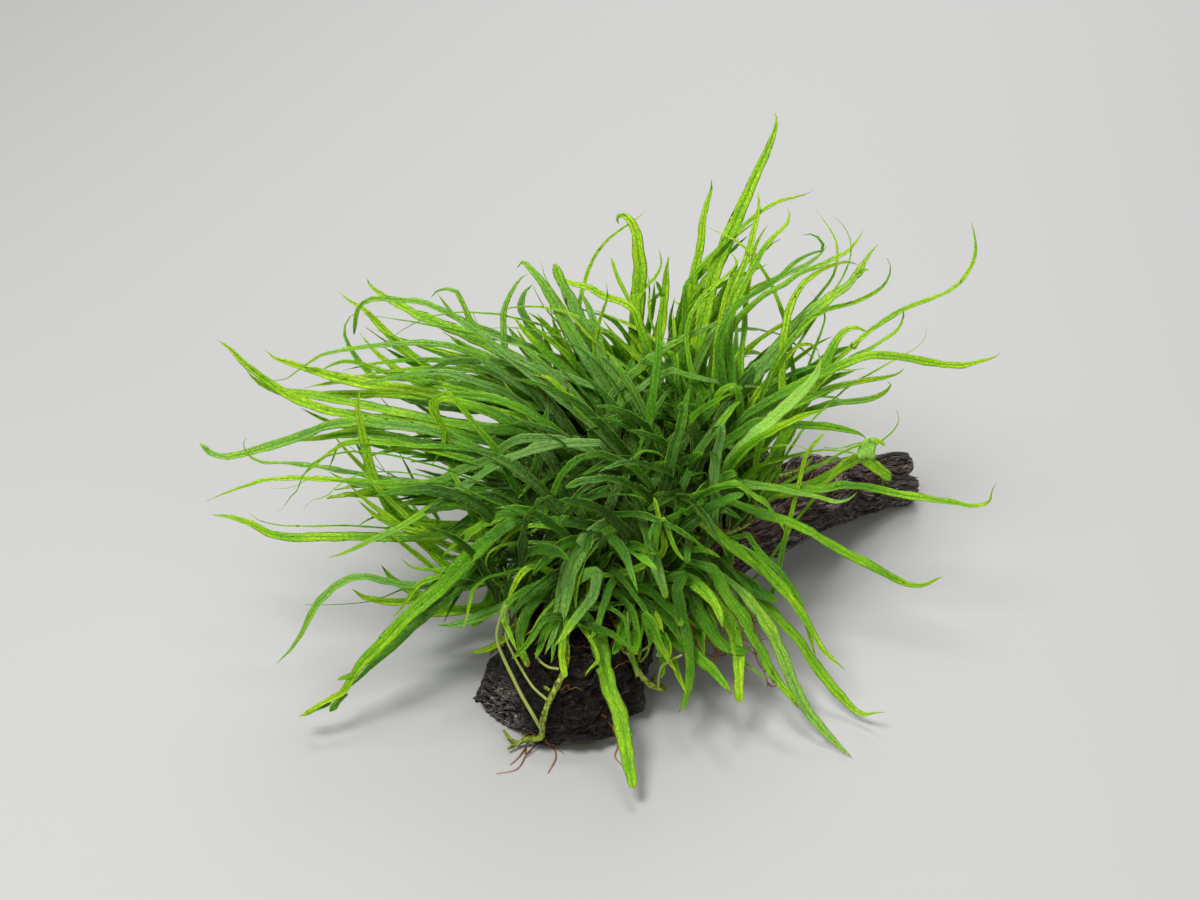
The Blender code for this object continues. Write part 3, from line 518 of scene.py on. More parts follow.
def sight_line(column, row):
    across = (column - DRAWING_CENTRE[0]) * DRAWING_UNIT
    up = (DRAWING_CENTRE[1] - row) * DRAWING_UNIT
    return (VIEW_TARGET + RIGHT * across + VIEW_UP * up - VIEWER).normalized()


def seen_at(column, row, back):
    """The point drawn at this column and row, at this distance back, and never below the floor."""
    line = sight_line(column, row)
    to_back = (back - VIEWER.y) / line.y
    to_floor = (FLOOR_CLEARANCE - VIEWER.z) / line.z
    return VIEWER + line * min(to_back, to_floor)


def drawn_place(point):
    """The column and row at which a point is seen."""
    ray = point - VIEWER
    ray *= VIEW_DISTANCE / ray.dot(FORWARD)
    column = DRAWING_CENTRE[0] + ray.dot(RIGHT) / DRAWING_UNIT
    row = DRAWING_CENTRE[1] - ray.dot(VIEW_UP) / DRAWING_UNIT
    return Vector((column, row))


def reaches_from(middle, reach, place):
    """How many reaches away from a middle a drawn place lies."""
    return math.hypot((place.x - middle[0]) / reach[0], (place.y - middle[1]) / reach[1])


def scattered(chance):
    """A vector that points anywhere."""
    return Vector([chance.gauss(0, 1) for _ in range(3)])


# ---- meshes ----


class Shape:
    """Points, faces and the values of each point, gathered for one mesh."""

    def __init__(self):
        self.points = []
        self.faces = []
        self.values = {}
        self.strips = []
        self.stations = []
        self.count = 0

    def add(self, points, faces, **values):
        self.points.append(np.asarray(points, float))
        self.faces.append(np.asarray(faces, np.int64) + self.count)
        for name, value in values.items():
            self.values.setdefault(name, []).append(np.asarray(value, float))
        self.count += len(points)

    def make(self, name, nodes, material):
        mesh = bpy.data.meshes.new(name)
        points = np.concatenate(self.points)
        faces = np.concatenate(self.faces)
        mesh.vertices.add(len(points))
        mesh.vertices.foreach_set("co", points.astype(np.float32).ravel())
        mesh.loops.add(faces.size)
        mesh.loops.foreach_set("vertex_index", faces.astype(np.int32).ravel())
        mesh.polygons.add(len(faces))
        mesh.polygons.foreach_set("loop_start", np.arange(0, faces.size, 4, dtype=np.int32))
        mesh.update(calc_edges=True)
        mesh.shade_smooth()
        for label, parts in self.values.items():
            value = np.concatenate(parts)
            kind, field = ("FLOAT", "value") if value.ndim == 1 else ("FLOAT_VECTOR", "vector")
            attribute = mesh.attributes.new(label, kind, "POINT")
            attribute.data.foreach_set(field, value.astype(np.float32).ravel())
        if self.strips:
            layer = mesh.uv_layers.new(name="OFBake")
            layer.data.foreach_set("uv", np.concatenate(self.strips).astype(np.float32).ravel())
        mesh.materials.append(material)
        mesh.validate()
        piece = bpy.data.objects.new(name, mesh)
        bpy.context.scene.collection.objects.link(piece)
        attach(piece, "root")
        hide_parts(*nodes)


def ring_faces(rings, sides):
    """Quads over closed rings of points with the same count."""
    r = np.arange(rings - 1)[:, None] * sides
    k = np.arange(sides)[None, :]
    after = (k + 1) % sides
    return np.stack([r + k, r + after, r + sides + after, r + sides + k], -1).reshape(-1, 4)


def end_faces(first, sides, backwards):
    """Quads that close a ring with an even number of sides."""
    quads = []
    for k in range(sides // 2 - 1):
        quad = [first + k, first + k + 1, first + sides - 2 - k, first + sides - 1 - k]
        quads.append(quad[::-1] if backwards else quad)
    return np.array(quads)


def closed_faces(rings, sides):
    """Quads over rings of points and over the two ends."""
    ends = [end_faces(0, sides, True), end_faces((rings - 1) * sides, sides, False)]
    return np.concatenate([ring_faces(rings, sides), *ends])


# ---- leaves ----

# A blade's section: over its upper side from one edge to the other, and back under it
RING = np.array((1, 0.66, 0.33, 0, -0.33, -0.66, -1, -0.66, -0.33, 0, 0.33, 0.66))
TOP_POINTS = 6
UNDER = np.array([k > TOP_POINTS for k in range(len(RING))], int)
STATIONS, MAIN_STATIONS, SMALL_STATIONS, LOBE_STATIONS, FINE_STEPS = 44, 72, 32, 16, 84
SIDE_SMOOTHING = 14
STALK, THIN_STALK = 0.20, 0.10
LOBE_STALK, WIDE_STALK = -0.3, -0.05  # a lobe is wide from its root, and so is a broad leaf
STALK_HALF, STALK_THICK, BLADE_THICK = 0.62 * MM, 0.60 * MM, 0.16 * MM
# A blade's edge is uneven at these lengths and by these shares of its width
UNEVEN = ((8.3 * MM, 0.08), (3.1 * MM, 0.06), (1.7 * MM, 0.04))
RIB_TOP, RIB_UNDER, RIB_WIDTH = -0.13 * MM, -0.22 * MM, 0.16
FRILL_LENGTH, FRILL = 2.3 * MM, 0.06
STRIPS_PER_COLUMN = 25


class Leaf:
    """One leaf: its middle line from the stalk to the tip, and how its blade lies and looks."""

    def __init__(self, line, width, tone, chance, kind="", stalk=STALK, stations=STATIONS, rough=1.0):
        self.line = roughened(smooth(line, stations), chance, rough)
        self.width = width
        self.tone = tone
        self.fade = FADE
        self.age = 0.8 if "o" in kind else chance.uniform(0, 0.3)
        # Painted sheen: grey patches on g leaves, and pale all over on p leaves
        self.bloom = 2.0 if "p" in kind else 1.0 if "g" in kind else 0.06
        self.blunt = "x" in kind
        self.stalk = stalk
        self.facing = leaf_facing(line, chance.uniform(0.40, 0.80))
        self.twist = chance.gauss(0, 0.55)
        self.roll = chance.uniform(0.10, 0.38)
        self.cup = chance.choice((chance.uniform(-0.08, 0.30), chance.uniform(0.25, 0.75)))
        self.power = chance.uniform(2.6, 8.0)
        self.wave = chance.uniform(0.06, 0.28)
        self.wave_length = chance.uniform(11, 24) * MM
        self.phases = [chance.uniform(0, 2 * math.pi) for _ in range(5)]
        self.seed = chance.uniform(0, 50)


def spot_shares(points):
    """How far each point lies in one of the drawn spots."""
    rays = points - np.array(VIEWER)
    rays *= VIEW_DISTANCE / (rays @ np.array(FORWARD))[:, None]
    columns = DRAWING_CENTRE[0] + rays @ np.array(RIGHT) / DRAWING_UNIT
    rows = DRAWING_CENTRE[1] - rays @ np.array(VIEW_UP) / DRAWING_UNIT
    shares = np.zeros(len(points))
    for column, row, across, along in SPOTS:
        away = np.hypot((columns - column) / across, (rows - row) / along)
        shares = np.maximum(shares, np.clip(1.6 - away, 0, 1))
    return shares


def roughened(line, chance, amount):
    """The line with the small bends of a grown leaf, and a slight hook at its tip."""
    start = Vector([chance.uniform(0, 90) for _ in range(3)])
    hook = scattered(chance).normalized() * chance.uniform(0, 5) * MM
    rough = []
    for i, point in enumerate(line):
        share = i / (len(line) - 1)
        bend = noise.noise_vector(start + point / (24 * MM)) * 2.2 * MM
        bend += noise.noise_vector(start * 2 + point / (9 * MM)) * 0.5 * MM
        rough.append(point + (bend * math.sin(math.pi * share**0.8) + hook * share**7) * amount)
        rough[-1].z = max(rough[-1].z, FLOOR_CLEARANCE)
    return rough


def leaf_facing(line, to_viewer):
    """The way a blade's upper face turns: up, and towards the viewer unless it droops at the back."""
    if line[-1].y > line[0].y and line[-1].z < line[0].z + LEVEL_RISE:
        return UP
    return UP.lerp(-FORWARD, to_viewer).normalized()


def width_shares(share, stalk, blunt, power):
    """How far the blade has widened, and how far it has narrowed again, along a leaf."""
    full = stalk + 0.24
    rising = np.clip((share - stalk * 0.7) / (full - stalk * 0.7), 0, 1)
    rising = rising * rising * (3 - 2 * rising)
    t = np.clip((share - full) / (1 - full), 0, 1)
    if blunt:
        return rising, (1 - 0.40 * t**2.6) * np.sqrt(np.clip(1 - t**60, 0.10, 1))
    return rising, (1 - 0.22 * t - 0.66 * t**power) * np.sqrt(np.clip(1 - t**20, 0.02, 1))


def blade_sides(line, facing):
    """The way across the blade at each station, worked out from the tip back as in the solids."""
    directions = tangents(line)
    sideways = RIGHT.copy()
    found = []
    for along in reversed(directions):
        wanted = facing.cross(along) + sideways * 0.35
        if wanted.dot(sideways) < 0 and found:
            wanted = sideways - facing.cross(along)
        sideways = (wanted - along * wanted.dot(along)).normalized()
        found.append(sideways)
    directions, sides = np.array(directions), np.array(found[::-1])
    for _ in range(SIDE_SMOOTHING):
        sides[1:-1] = sides[:-2] + 2 * sides[1:-1] + sides[2:]
        sides -= directions * (sides * directions).sum(1)[:, None]
        sides /= np.linalg.norm(sides, axis=1)[:, None]
    return directions, sides


def add_leaf(shape, leaf):
    """Adds one leaf's closed blade to a shape."""
    line = np.array(leaf.line)
    n, m = len(line), len(RING)
    share = np.linspace(0, 1, n)
    along = share * length_of(leaf.line)
    directions, sides = blade_sides(leaf.line, leaf.facing)
    normals = np.cross(directions, sides)
    turn = leaf.twist * share**1.5 + leaf.roll * np.sin(share * 8 + leaf.phases[0])
    sides, normals = (
        sides * np.cos(turn)[:, None] + normals * np.sin(turn)[:, None],
        normals * np.cos(turn)[:, None] - sides * np.sin(turn)[:, None],
    )
    rising, ending = width_shares(share, leaf.stalk, leaf.blunt, leaf.power)
    stalk_half = min(STALK_HALF, leaf.width * 0.5)
    half = ((stalk_half + (leaf.width / 2 - stalk_half) * rising) * ending)[:, None]
    thick = (STALK_THICK * (1 - rising) + BLADE_THICK * rising) * np.clip(ending, 0.35, 1)
    edges = []
    for k in (1, 3):
        steps = enumerate(UNEVEN, 1)
        edge = sum(size * np.sin(along / length + step * leaf.phases[k]) for step, (length, size) in steps)
        edges.append((1 + edge * rising)[:, None])
    u = RING[None, :]
    flat = np.abs(u)
    along = along[:, None]
    rising = rising[:, None]
    level = thick[:, None] * np.sqrt(np.clip(1 - u**2, 0, 1)) * np.where(UNDER, -1, 1)[None, :]
    level += np.where(UNDER, RIB_UNDER, RIB_TOP)[None, :] * np.exp(-((u / RIB_WIDTH) ** 2)) * rising
    level += leaf.cup * flat * half * rising
    start = np.where(u > 0, leaf.phases[3], leaf.phases[0] + 1.9)
    swing = np.sin(along / leaf.wave_length * 2 * math.pi + start)
    level += leaf.wave * half * rising * flat**1.5 * swing
    frill = np.sin(along / FRILL_LENGTH + leaf.phases[4] + np.where(u > 0, 2.0, 0.0))
    level += FRILL * half * rising * flat**3 * frill
    out = u * half * np.where(u > 0, *edges)
    points = line[:, None, :] + sides[:, None, :] * out[..., None] + normals[:, None, :] * level[..., None]
    points = points.reshape(-1, 3)
    # A leaf is lighter towards its tip, partly with painted light, and its foot has painted shade in the
    # clump's middle
    tone = leaf.tone + leaf.fade * (0.56 - share) + 0.08 * np.sin(share * 5 + leaf.phases[2])
    feet_shade_share = [max(1 - reaches_from(FEET_MIDDLE, FEET_REACH, drawn_place(point)), 0) for point in leaf.line]
    tone = np.clip(tone + PAINTED_FEET_SHADE * np.array(feet_shade_share) * (1 - share), 0, 1)
    everywhere = np.ones((n, m))
    values = {
        "across": u,
        "share": share[:, None],
        "under": UNDER[None, :],
        "tone": tone[:, None],
        "age": leaf.age,
        "bloom": leaf.bloom,
    }
    values = {name: (value * everywhere).ravel() for name, value in values.items()}
    place = np.stack([u * half / MM * everywhere, along / MM * everywhere, leaf.seed * everywhere], -1)
    shape.add(points, closed_faces(n, m), spot=spot_shares(points), place=place.reshape(-1, 3), **values)
    shape.stations.append(n)


def strip_uvs(shape):
    """A bake map: a strip for each side of each leaf."""
    strips = len(shape.stations) * 2
    columns = max(1, round(math.sqrt(strips / STRIPS_PER_COLUMN)))
    count = math.ceil(strips / columns)
    for number, n in enumerate(shape.stations):

        def quad(start, end, step, side):
            """A face's corners in the strip of one side, between two stations."""
            column, row = divmod(number * 2 + side, count)
            corners = []
            for station, at in ((start, step), (start, step + 1), (end, step + 1), (end, step)):
                x = (column + 0.01 + 0.98 * station / (n - 1)) / columns
                corners.append((x, (row + 0.06 + 0.88 * at / TOP_POINTS) / count))
            return corners

        uv = []
        for station in range(n - 1):
            for k in range(len(RING)):
                side, step = divmod(k, TOP_POINTS)
                uv += quad(station, station + 1, step, side)
        for station, inward in ((0, 0.4), (n - 1, n - 1.4)):
            for step in range(TOP_POINTS - 1):
                uv += quad(station, inward, step, 0)
        shape.strips.append(np.array(uv))


# ---- the leaves of the solids ----


def leaf_stations(node):
    """The middles of a leaf node's sections, from its stalk to its tip, and its greatest width."""
    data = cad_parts[node].data
    keys = [tuple(round(c * 1e5) for c in v.co) for v in data.vertices]
    corner = {key: v.co.copy() for key, v in zip(keys, data.vertices)}
    beside = {key: set() for key in corner}
    for face in data.polygons:
        joined = {keys[i] for i in face.vertices}
        for key in joined:
            beside[key] |= joined

    def span(ring):
        return max((corner[a] - corner[b]).length for a in ring for b in ring)

    def past(ring, seen):
        return set().union(*(beside[key] for key in ring)) - seen

    foot = None
    for key in corner:
        ring = set(sorted(corner, key=lambda other: (corner[other] - corner[key]).length)[:4])
        if abs(span(ring) - STALK_WIDTH) < 0.05 * MM and len(past(ring, ring)) == 4:
            foot = ring
    line, width = [], 0
    seen, ring = set(), foot
    while ring:
        line.append(sum((corner[key] for key in ring), Vector()) / len(ring))
        width = max(width, span(ring))
        seen |= ring
        ring = past(ring, seen)
    return line, width


def finer(line, route):
    """The line with its outer part led through its drawn route, at the depth it already has there."""
    fine = smooth(line, FINE_STEPS)
    seen = [drawn_place(point) for point in fine]
    stride = FINE_STEPS // 12
    start, points = 0, []
    for place in route:
        start = min(range(start, len(fine)), key=lambda i: (seen[i] - place).length)
        if not points:
            points = fine[: max(start - stride, 1) : stride]
        points.append(seen_at(place.x, place.y, fine[start].y))
    return points


# By node: the leaf's tone and kind, its middle line and its width
LOOKS, LINES, WIDTHS = {}, {}, {}
for node, tone, kind, broader, route in rows_of(OUTER_LEAVES.replace("\n    ", " ")):
    line, width = leaf_stations(node)
    LOOKS[node] = float(tone), kind
    LINES[node] = finer(line, route[::-1]) if route else line
    WIDTHS[node] = width * BROADER * float(broader)


# ---- driftwood ----

NOISE_UNIT = 30 * MM
# The wood's strands: how close they lie round it, where their noise starts, how close they lie along it,
# how deep they are and how light
STRANDS = (
    (4.5, (0, 0), 0.55, 0.6, 0.30),
    (12, (0, 5), 1.5, 0.9, 0.35),
    (24, (5, 0), 3.2, 0.7, 0.25),
)


def within(value):
    """The value, held between nought and one."""
    return min(max(value, 0), 1)


def ridged(place):
    """Noise with sharp crests."""
    return 1 - 2 * abs(noise.noise(place))


def wood_section(share):
    """Middle, half width, half height and direction of the wood at a share of its length."""
    place = share * (len(WOOD_SECTIONS) - 1)
    i = min(int(place), len(WOOD_SECTIONS) - 2)
    t = place - i
    t = t * t * (3 - 2 * t) * 0.35 + t * 0.65
    mixed = [(a + (b - a) * t) * MM for a, b in zip(WOOD_SECTIONS[i], WOOD_SECTIONS[i + 1])]
    before = Vector(WOOD_SECTIONS[max(i - 1, 0)][:3])
    after = Vector(WOOD_SECTIONS[min(i + 2, len(WOOD_SECTIONS) - 1)][:3])
    along = after - before
    along.z = 0
    return Vector(mixed[:3]), mixed[3], mixed[4], along.normalized()


def outline_share(point, middle):
    """How much of the way from the wood's middle to a point stays within the drawn outline."""
    start = drawn_place(middle)
    reach = drawn_place(point) - start
    least = 1.0
    for a, b in zip(WOOD_OUTLINE, WOOD_OUTLINE[1:] + WOOD_OUTLINE[:1]):
        side_x, side_y = b[0] - a[0], b[1] - a[1]
        turn = reach.x * side_y - reach.y * side_x
        if turn:
            gap_x, gap_y = a[0] - start.x, a[1] - start.y
            along_reach = (gap_x * side_y - gap_y * side_x) / turn
            along_side = (gap_x * reach.y - gap_y * reach.x) / turn
            if 0 < along_reach < least and 0 <= along_side <= 1:
                least = along_reach
    return least


def knob_grain(point):
    """Grain that runs straight across the broken left end."""
    offset = (point - PALE_KNOB) / MM
    run = offset.dot(KNOB_GRAIN)
    across = offset - KNOB_GRAIN * run
    return across.x, across.y + across.z, run


def wood_point(share, a):
    """A point of the wood's surface, how high it stands among the fibres round it, and its grain."""
    middle, half_width, half_height, along = wood_section(share)
    across = Vector((along.y, -along.x, 0))
    place = middle / NOISE_UNIT + (across * math.cos(a) + UP * math.sin(a))
    # Its form: lumps, ledges, ridges round it, and the hollows and knobs
    lump = noise.noise(place * 0.9 + Vector((0, SEED, 0)))
    ledge = round(2.5 * noise.noise(place * 1.6 + Vector((SEED, 0, 0)))) / 2.5
    ridge = math.sin(RIDGES_ROUND * a + 2.5 * noise.noise(Vector((share * 9, a, SEED))))
    size = 1 + WOOD_LUMPS * 2 * lump + WOOD_LEDGES * ledge + WOOD_RIDGES * ridge
    size *= 1 + 0.10 * abs(math.sin(2 * a))
    dents = 0
    for at, angle, reach, turn, dent in DENTS:
        gap = (a - math.radians(angle) + math.pi) % (2 * math.pi) - math.pi
        dents += dent * math.exp(-(((share - at) / reach) ** 2) - (gap / turn) ** 2)
    spoke = across * (math.cos(a) * (half_width * size - dents * MM))
    spoke += UP * (math.sin(a) * (half_height * size - dents * MM))
    spoke *= outline_share(middle + spoke, middle)
    # Its strands, which wind round it, with cracks and broken steps
    sway = noise.noise(place * 0.9 + Vector((3, 1, SEED))) * 0.32
    sway += noise.noise(place * 3.5 + Vector((9, 4, SEED))) * 0.07
    wound = Vector((math.cos(a + sway), math.sin(a + sway), 0))
    run = share * WOOD_LENGTH / NOISE_UNIT
    strands = height = 0
    for close, start, along_it, deep, light in STRANDS:
        crest = ridged(wound * close + Vector((*start, run * along_it)))
        strands += deep * crest
        height += light * crest
    split = abs(noise.noise(wound * 3.1 + Vector((7, 7, run * 0.42))))
    split = max(0, 1 - split / 0.075) * within(2.5 * noise.noise(place * 1.7) + 0.6)
    broken = round(3 * noise.noise(place * 2.6 + wound + Vector((0, 0, SEED)))) / 3
    # The bulk of the stump is pitted, and its broken left end is grooved straight across
    bulk = within((share - BULK_START) / 0.05) * within((BULK_END - share) / 0.06)
    pits = noise.noise(place * 7 + Vector((SEED, 4, 0)))
    pits += 0.6 * noise.noise(place * 13 + Vector((SEED, 8, 0)))
    knob = within(1.4 - 1.4 * share / KNOB_END)
    if knob:
        x, y, z = knob_grain(middle + spoke)
        grooves = ridged(Vector((x * 0.40, y * 0.40, z * 0.045 + SEED)))
        grooves += 0.6 * noise.noise(Vector((x * 1.1, y * 1.1, z * 0.12)))
        strands += (1.3 * grooves - strands) * knob
    depth = strands * (1 - 0.6 * bulk) + 2.2 * bulk * pits - 2.8 * split + (1.5 + 0.8 * bulk) * broken
    grain = math.cos(a + sway) * 30, math.sin(a + sway) * 30, share * WOOD_LENGTH / MM
    return middle + spoke + spoke.normalized() * depth * MM, height - 1.3 * split + 0.2 * broken, grain


def end_ring(ring, step, outward, phase):
    """A ring of a broken end: drawn in towards its middle, with splinters of uneven length."""
    middle = sum(ring, Vector()) / len(ring)
    shrink = 1 - (step / END_RINGS) ** 1.6
    rough = []
    for point in ring:
        spoke = point - middle
        place = spoke * (0.25 + 0.75 * shrink) / (5 * MM)
        jag = noise.noise(place * 1.3 + Vector((phase, 0, 0))) * 5 + noise.noise(place * 3.3) * 2.2
        depth = -2.2 * math.sin(math.pi * step / END_RINGS)
        rough.append(middle + spoke * max(shrink, 0.03) + outward * (jag + depth) * MM * min(step / 3, 1))
    return rough


def wood_ring(share):
    return [wood_point(share, -2 * math.pi * k / WOOD_SIDES) for k in range(WOOD_SIDES)]


WOOD_RINGS = [wood_ring(r / WOOD_STEPS * WOOD_END) for r in range(WOOD_STEPS + 1)]


def tree_of(rings):
    points = [Vector((point.x, point.y, max(point.z, 0))) for ring in rings for point, _, _ in ring]
    return BVHTree.FromPolygons(points, ring_faces(len(rings), WOOD_SIDES).tolist())


WOOD = tree_of(WOOD_RINGS)


def drawn_on_wood(column, row, lift):
    """Where the line of sight meets the wood or the floor, lifted off it."""
    line = sight_line(column, row)
    hit, normal, _, _ = WOOD.ray_cast(VIEWER, line)
    if hit is None:
        return VIEWER + line * (-VIEWER.z / line.z) + UP * lift
    return hit + (normal - line).normalized() * lift


def hanging_line(route):
    """A line that leaves the wood just above its drawn route, and hangs in front of it from there."""
    (column, top), *rest = route
    while WOOD.ray_cast(VIEWER, sight_line(column, top))[0] is None:
        top -= 1
    start = drawn_on_wood(column, top, 0.5 * MM)
    return [start] + [seen_at(column, row, start.y - (row - top) * HANG_FORWARD) for column, row in rest]


def above_wood(share, side, lift):
    middle, half_width, _, along = wood_section(share)
    place = middle + Vector((along.y, -along.x, 0)) * half_width * side
    hit, normal, _, _ = WOOD.ray_cast(place + UP * 0.2, -UP)
    return hit + (normal + UP).normalized() * lift


def lifted_clear(line, lift):
    """The line with each point moved out to at least the lift from the wood."""
    clear = []
    for point in line:
        nearest, normal, _, distance = WOOD.find_nearest(point)
        inside = (point - nearest).dot(normal) < 0
        if inside or distance < lift:
            point = nearest + normal * lift
        point.z = max(point.z, lift)
        clear.append(point)
    return clear


def add_splinter(shape, route, half_width, half_depth, number):
    """A flat splinter of wood, rooted in a broken end, with a jagged tip."""
    rooted = [drawn_on_wood(column, row, -0.6 * MM) for column, row in route[:-2]]
    back = rooted[-1].y + (rooted[-1].y - rooted[0].y) * 0.5
    line = smooth(rooted + [seen_at(column, row, back) for column, row in route[-2:]], SPLINTER_STEPS)
    points, heights, grain = [], [], []
    for i, along in enumerate(tangents(line)):
        across = along.cross(FORWARD).normalized()
        share = i / SPLINTER_STEPS
        for k in range(SPLINTER_SIDES):
            a = 2 * math.pi * k / SPLINTER_SIDES
            place = Vector((math.cos(a), math.sin(a), number * 5))
            size = 0.55 + 0.45 * min(share * 3, 1)
            size += 0.30 * noise.noise(place * 1.4 + Vector((0, 0, share * 2)))
            jag = along * (noise.noise(place * 2.3) * 5 * MM * share**4)
            out = across * (math.cos(a) * half_width) + along.cross(across) * (math.sin(a) * half_depth)
            points.append(line[i] + out * size + jag)
            points[-1].z = max(points[-1].z, 0)
            heights.append(0.3 * noise.noise(place * 3))
            grain.append((math.cos(a) * 6 + number * 9, math.sin(a) * 6, share * 12 + number * 20))
    faces = closed_faces(len(line), SPLINTER_SIDES)
    shape.add(points, faces, height=heights, grain=grain, pale=np.full(len(points), 0.45))


def make_driftwood(material):
    first, last = WOOD_RINGS[0], WOOD_RINGS[-1]
    bare = [[point for point, _, _ in ring] for ring in WOOD_RINGS]
    head = [end_ring(bare[0], step, -wood_section(0)[3], 3) for step in range(END_RINGS, 0, -1)]
    tail = [end_ring(bare[-1], step, wood_section(1)[3], 8) for step in range(1, END_RINGS + 1)]
    # Each ring of points, with the ring of the wood whose fibres it carries on
    rings = [(ring, first) for ring in head] + list(zip(bare, WOOD_RINGS)) + [(ring, last) for ring in tail]
    points, heights, grain, pale = [], [], [], []
    for number, (ring, source) in enumerate(rings):
        at_head = number < END_RINGS + KNOB_RINGS
        for place, (_, height, fibre) in zip(ring, source):
            place.z = max(place.z, 0.0)
            points.append(place)
            heights.append(0 if at_head else height)
            grain.append(knob_grain(place) if at_head else fibre)
            knob = 1 - (place - PALE_KNOB).length / KNOB_REACH
            tip = 1 - (place - PALE_TIP).length / TIP_REACH
            pale.append(max(knob, tip, 0))
    shape = Shape()
    shape.add(points, closed_faces(len(rings), WOOD_SIDES), height=heights, grain=grain, pale=pale)
    for number, (half_width, half_depth, route) in enumerate(rows_of(SPLINTERS)):
        add_splinter(shape, route, float(half_width) * MM, float(half_depth) * MM, number)
    shape.make("driftwood", ("driftwood_stump", "driftwood_limb"), material)


# ---- the rhizomes' lines ----


def rhizome_line(name):
    side, start, end = CREEP[name]
    lift = RHIZOME_RADIUS + 2 * GAP
    line = []
    if name == "rhizome_middle":
        line += [drawn_on_wood(column, row, lift) for column, row in FRONT_END]
    if name == "rhizome_right":
        line += [seen_at(column, row, SIDE_END_BACK) for column, row in SIDE_END]
    for k in range(CREEP_STEPS):
        share = start + (end - start) * k / (CREEP_STEPS - 1)
        wander = 0.10 * math.sin(2.4 * k + SEED)
        line.append(above_wood(share, side + wander, lift))
    return lifted_clear(smooth(line, 30), lift)


RHIZOMES = {name: rhizome_line(name) for name in CREEP}


def nearest_rhizome(place):
    return min(RHIZOMES.values(), key=lambda line: min((point - place).length for point in line))


def gathered(line):
    """The line with its foot led back along its rhizome, off the stretch of the limb that is drawn bare."""
    if drawn_place(line[0]).x < BARE_FROM:
        return line
    rhizome = nearest_rhizome(line[0])
    foot = min(rhizome[len(rhizome) // 3 :], key=lambda point: abs(drawn_place(point).x - BARE_FROM))
    shift = foot + UP * RHIZOME_RADIUS - line[0]
    last = len(line) - 1
    return [point + shift * max(1 - i / (last * GATHERED_SHARE), 0) ** 2 for i, point in enumerate(line)]


for node, line in LINES.items():
    LINES[node] = gathered(evenly(line, GATHERED_STEPS))
# This one's tip is hidden behind the others
LINES["leaf_back_03"] = LINES["leaf_back_03"][: GATHERED_STEPS * 4 // 5]


# ---- materials ----

# Colours over a leaf, a stalk, a root, a rhizome's skin and the wood, each from a level of 0 to one of 1
LEAF_TONES = (
    (0.0, (0.46, 0.80, 0.016)),
    (1.0, (0.005, 0.032, 0.002)),
    (0.25, (0.22, 0.54, 0.007)),
    (0.50, (0.072, 0.28, 0.004)),
    (0.75, (0.018, 0.110, 0.003)),
)
STALK_TONES = ((0.0, (0.50, 0.58, 0.10)), (1.0, (0.16, 0.16, 0.045)), (0.5, (0.36, 0.45, 0.085)))
ROOT_TONES = ((0.0, (0.19, 0.052, 0.014)), (1.0, (0.50, 0.235, 0.060)))
SKIN_TONES = ((0.30, (0.56, 0.72, 0.05)), (0.66, (0.040, 0.030, 0.010)), (0.5, (0.34, 0.50, 0.025)))
STUMP_TONES = (
    (0.0, (0.002, 0.0015, 0.001)),
    (1.0, (0.120, 0.100, 0.085)),
    (0.35, (0.006, 0.004, 0.003)),
    (0.58, (0.017, 0.0095, 0.0065)),
    (0.80, (0.045, 0.030, 0.022)),
)
LIMB_TONES = (
    (0.0, (0.008, 0.006, 0.005)),
    (1.0, (0.78, 0.72, 0.66)),
    (0.28, (0.045, 0.034, 0.029)),
    (0.48, (0.210, 0.160, 0.142)),
    (0.70, (0.440, 0.372, 0.338)),
)


def rgb(*values):
    return (*values, 1)


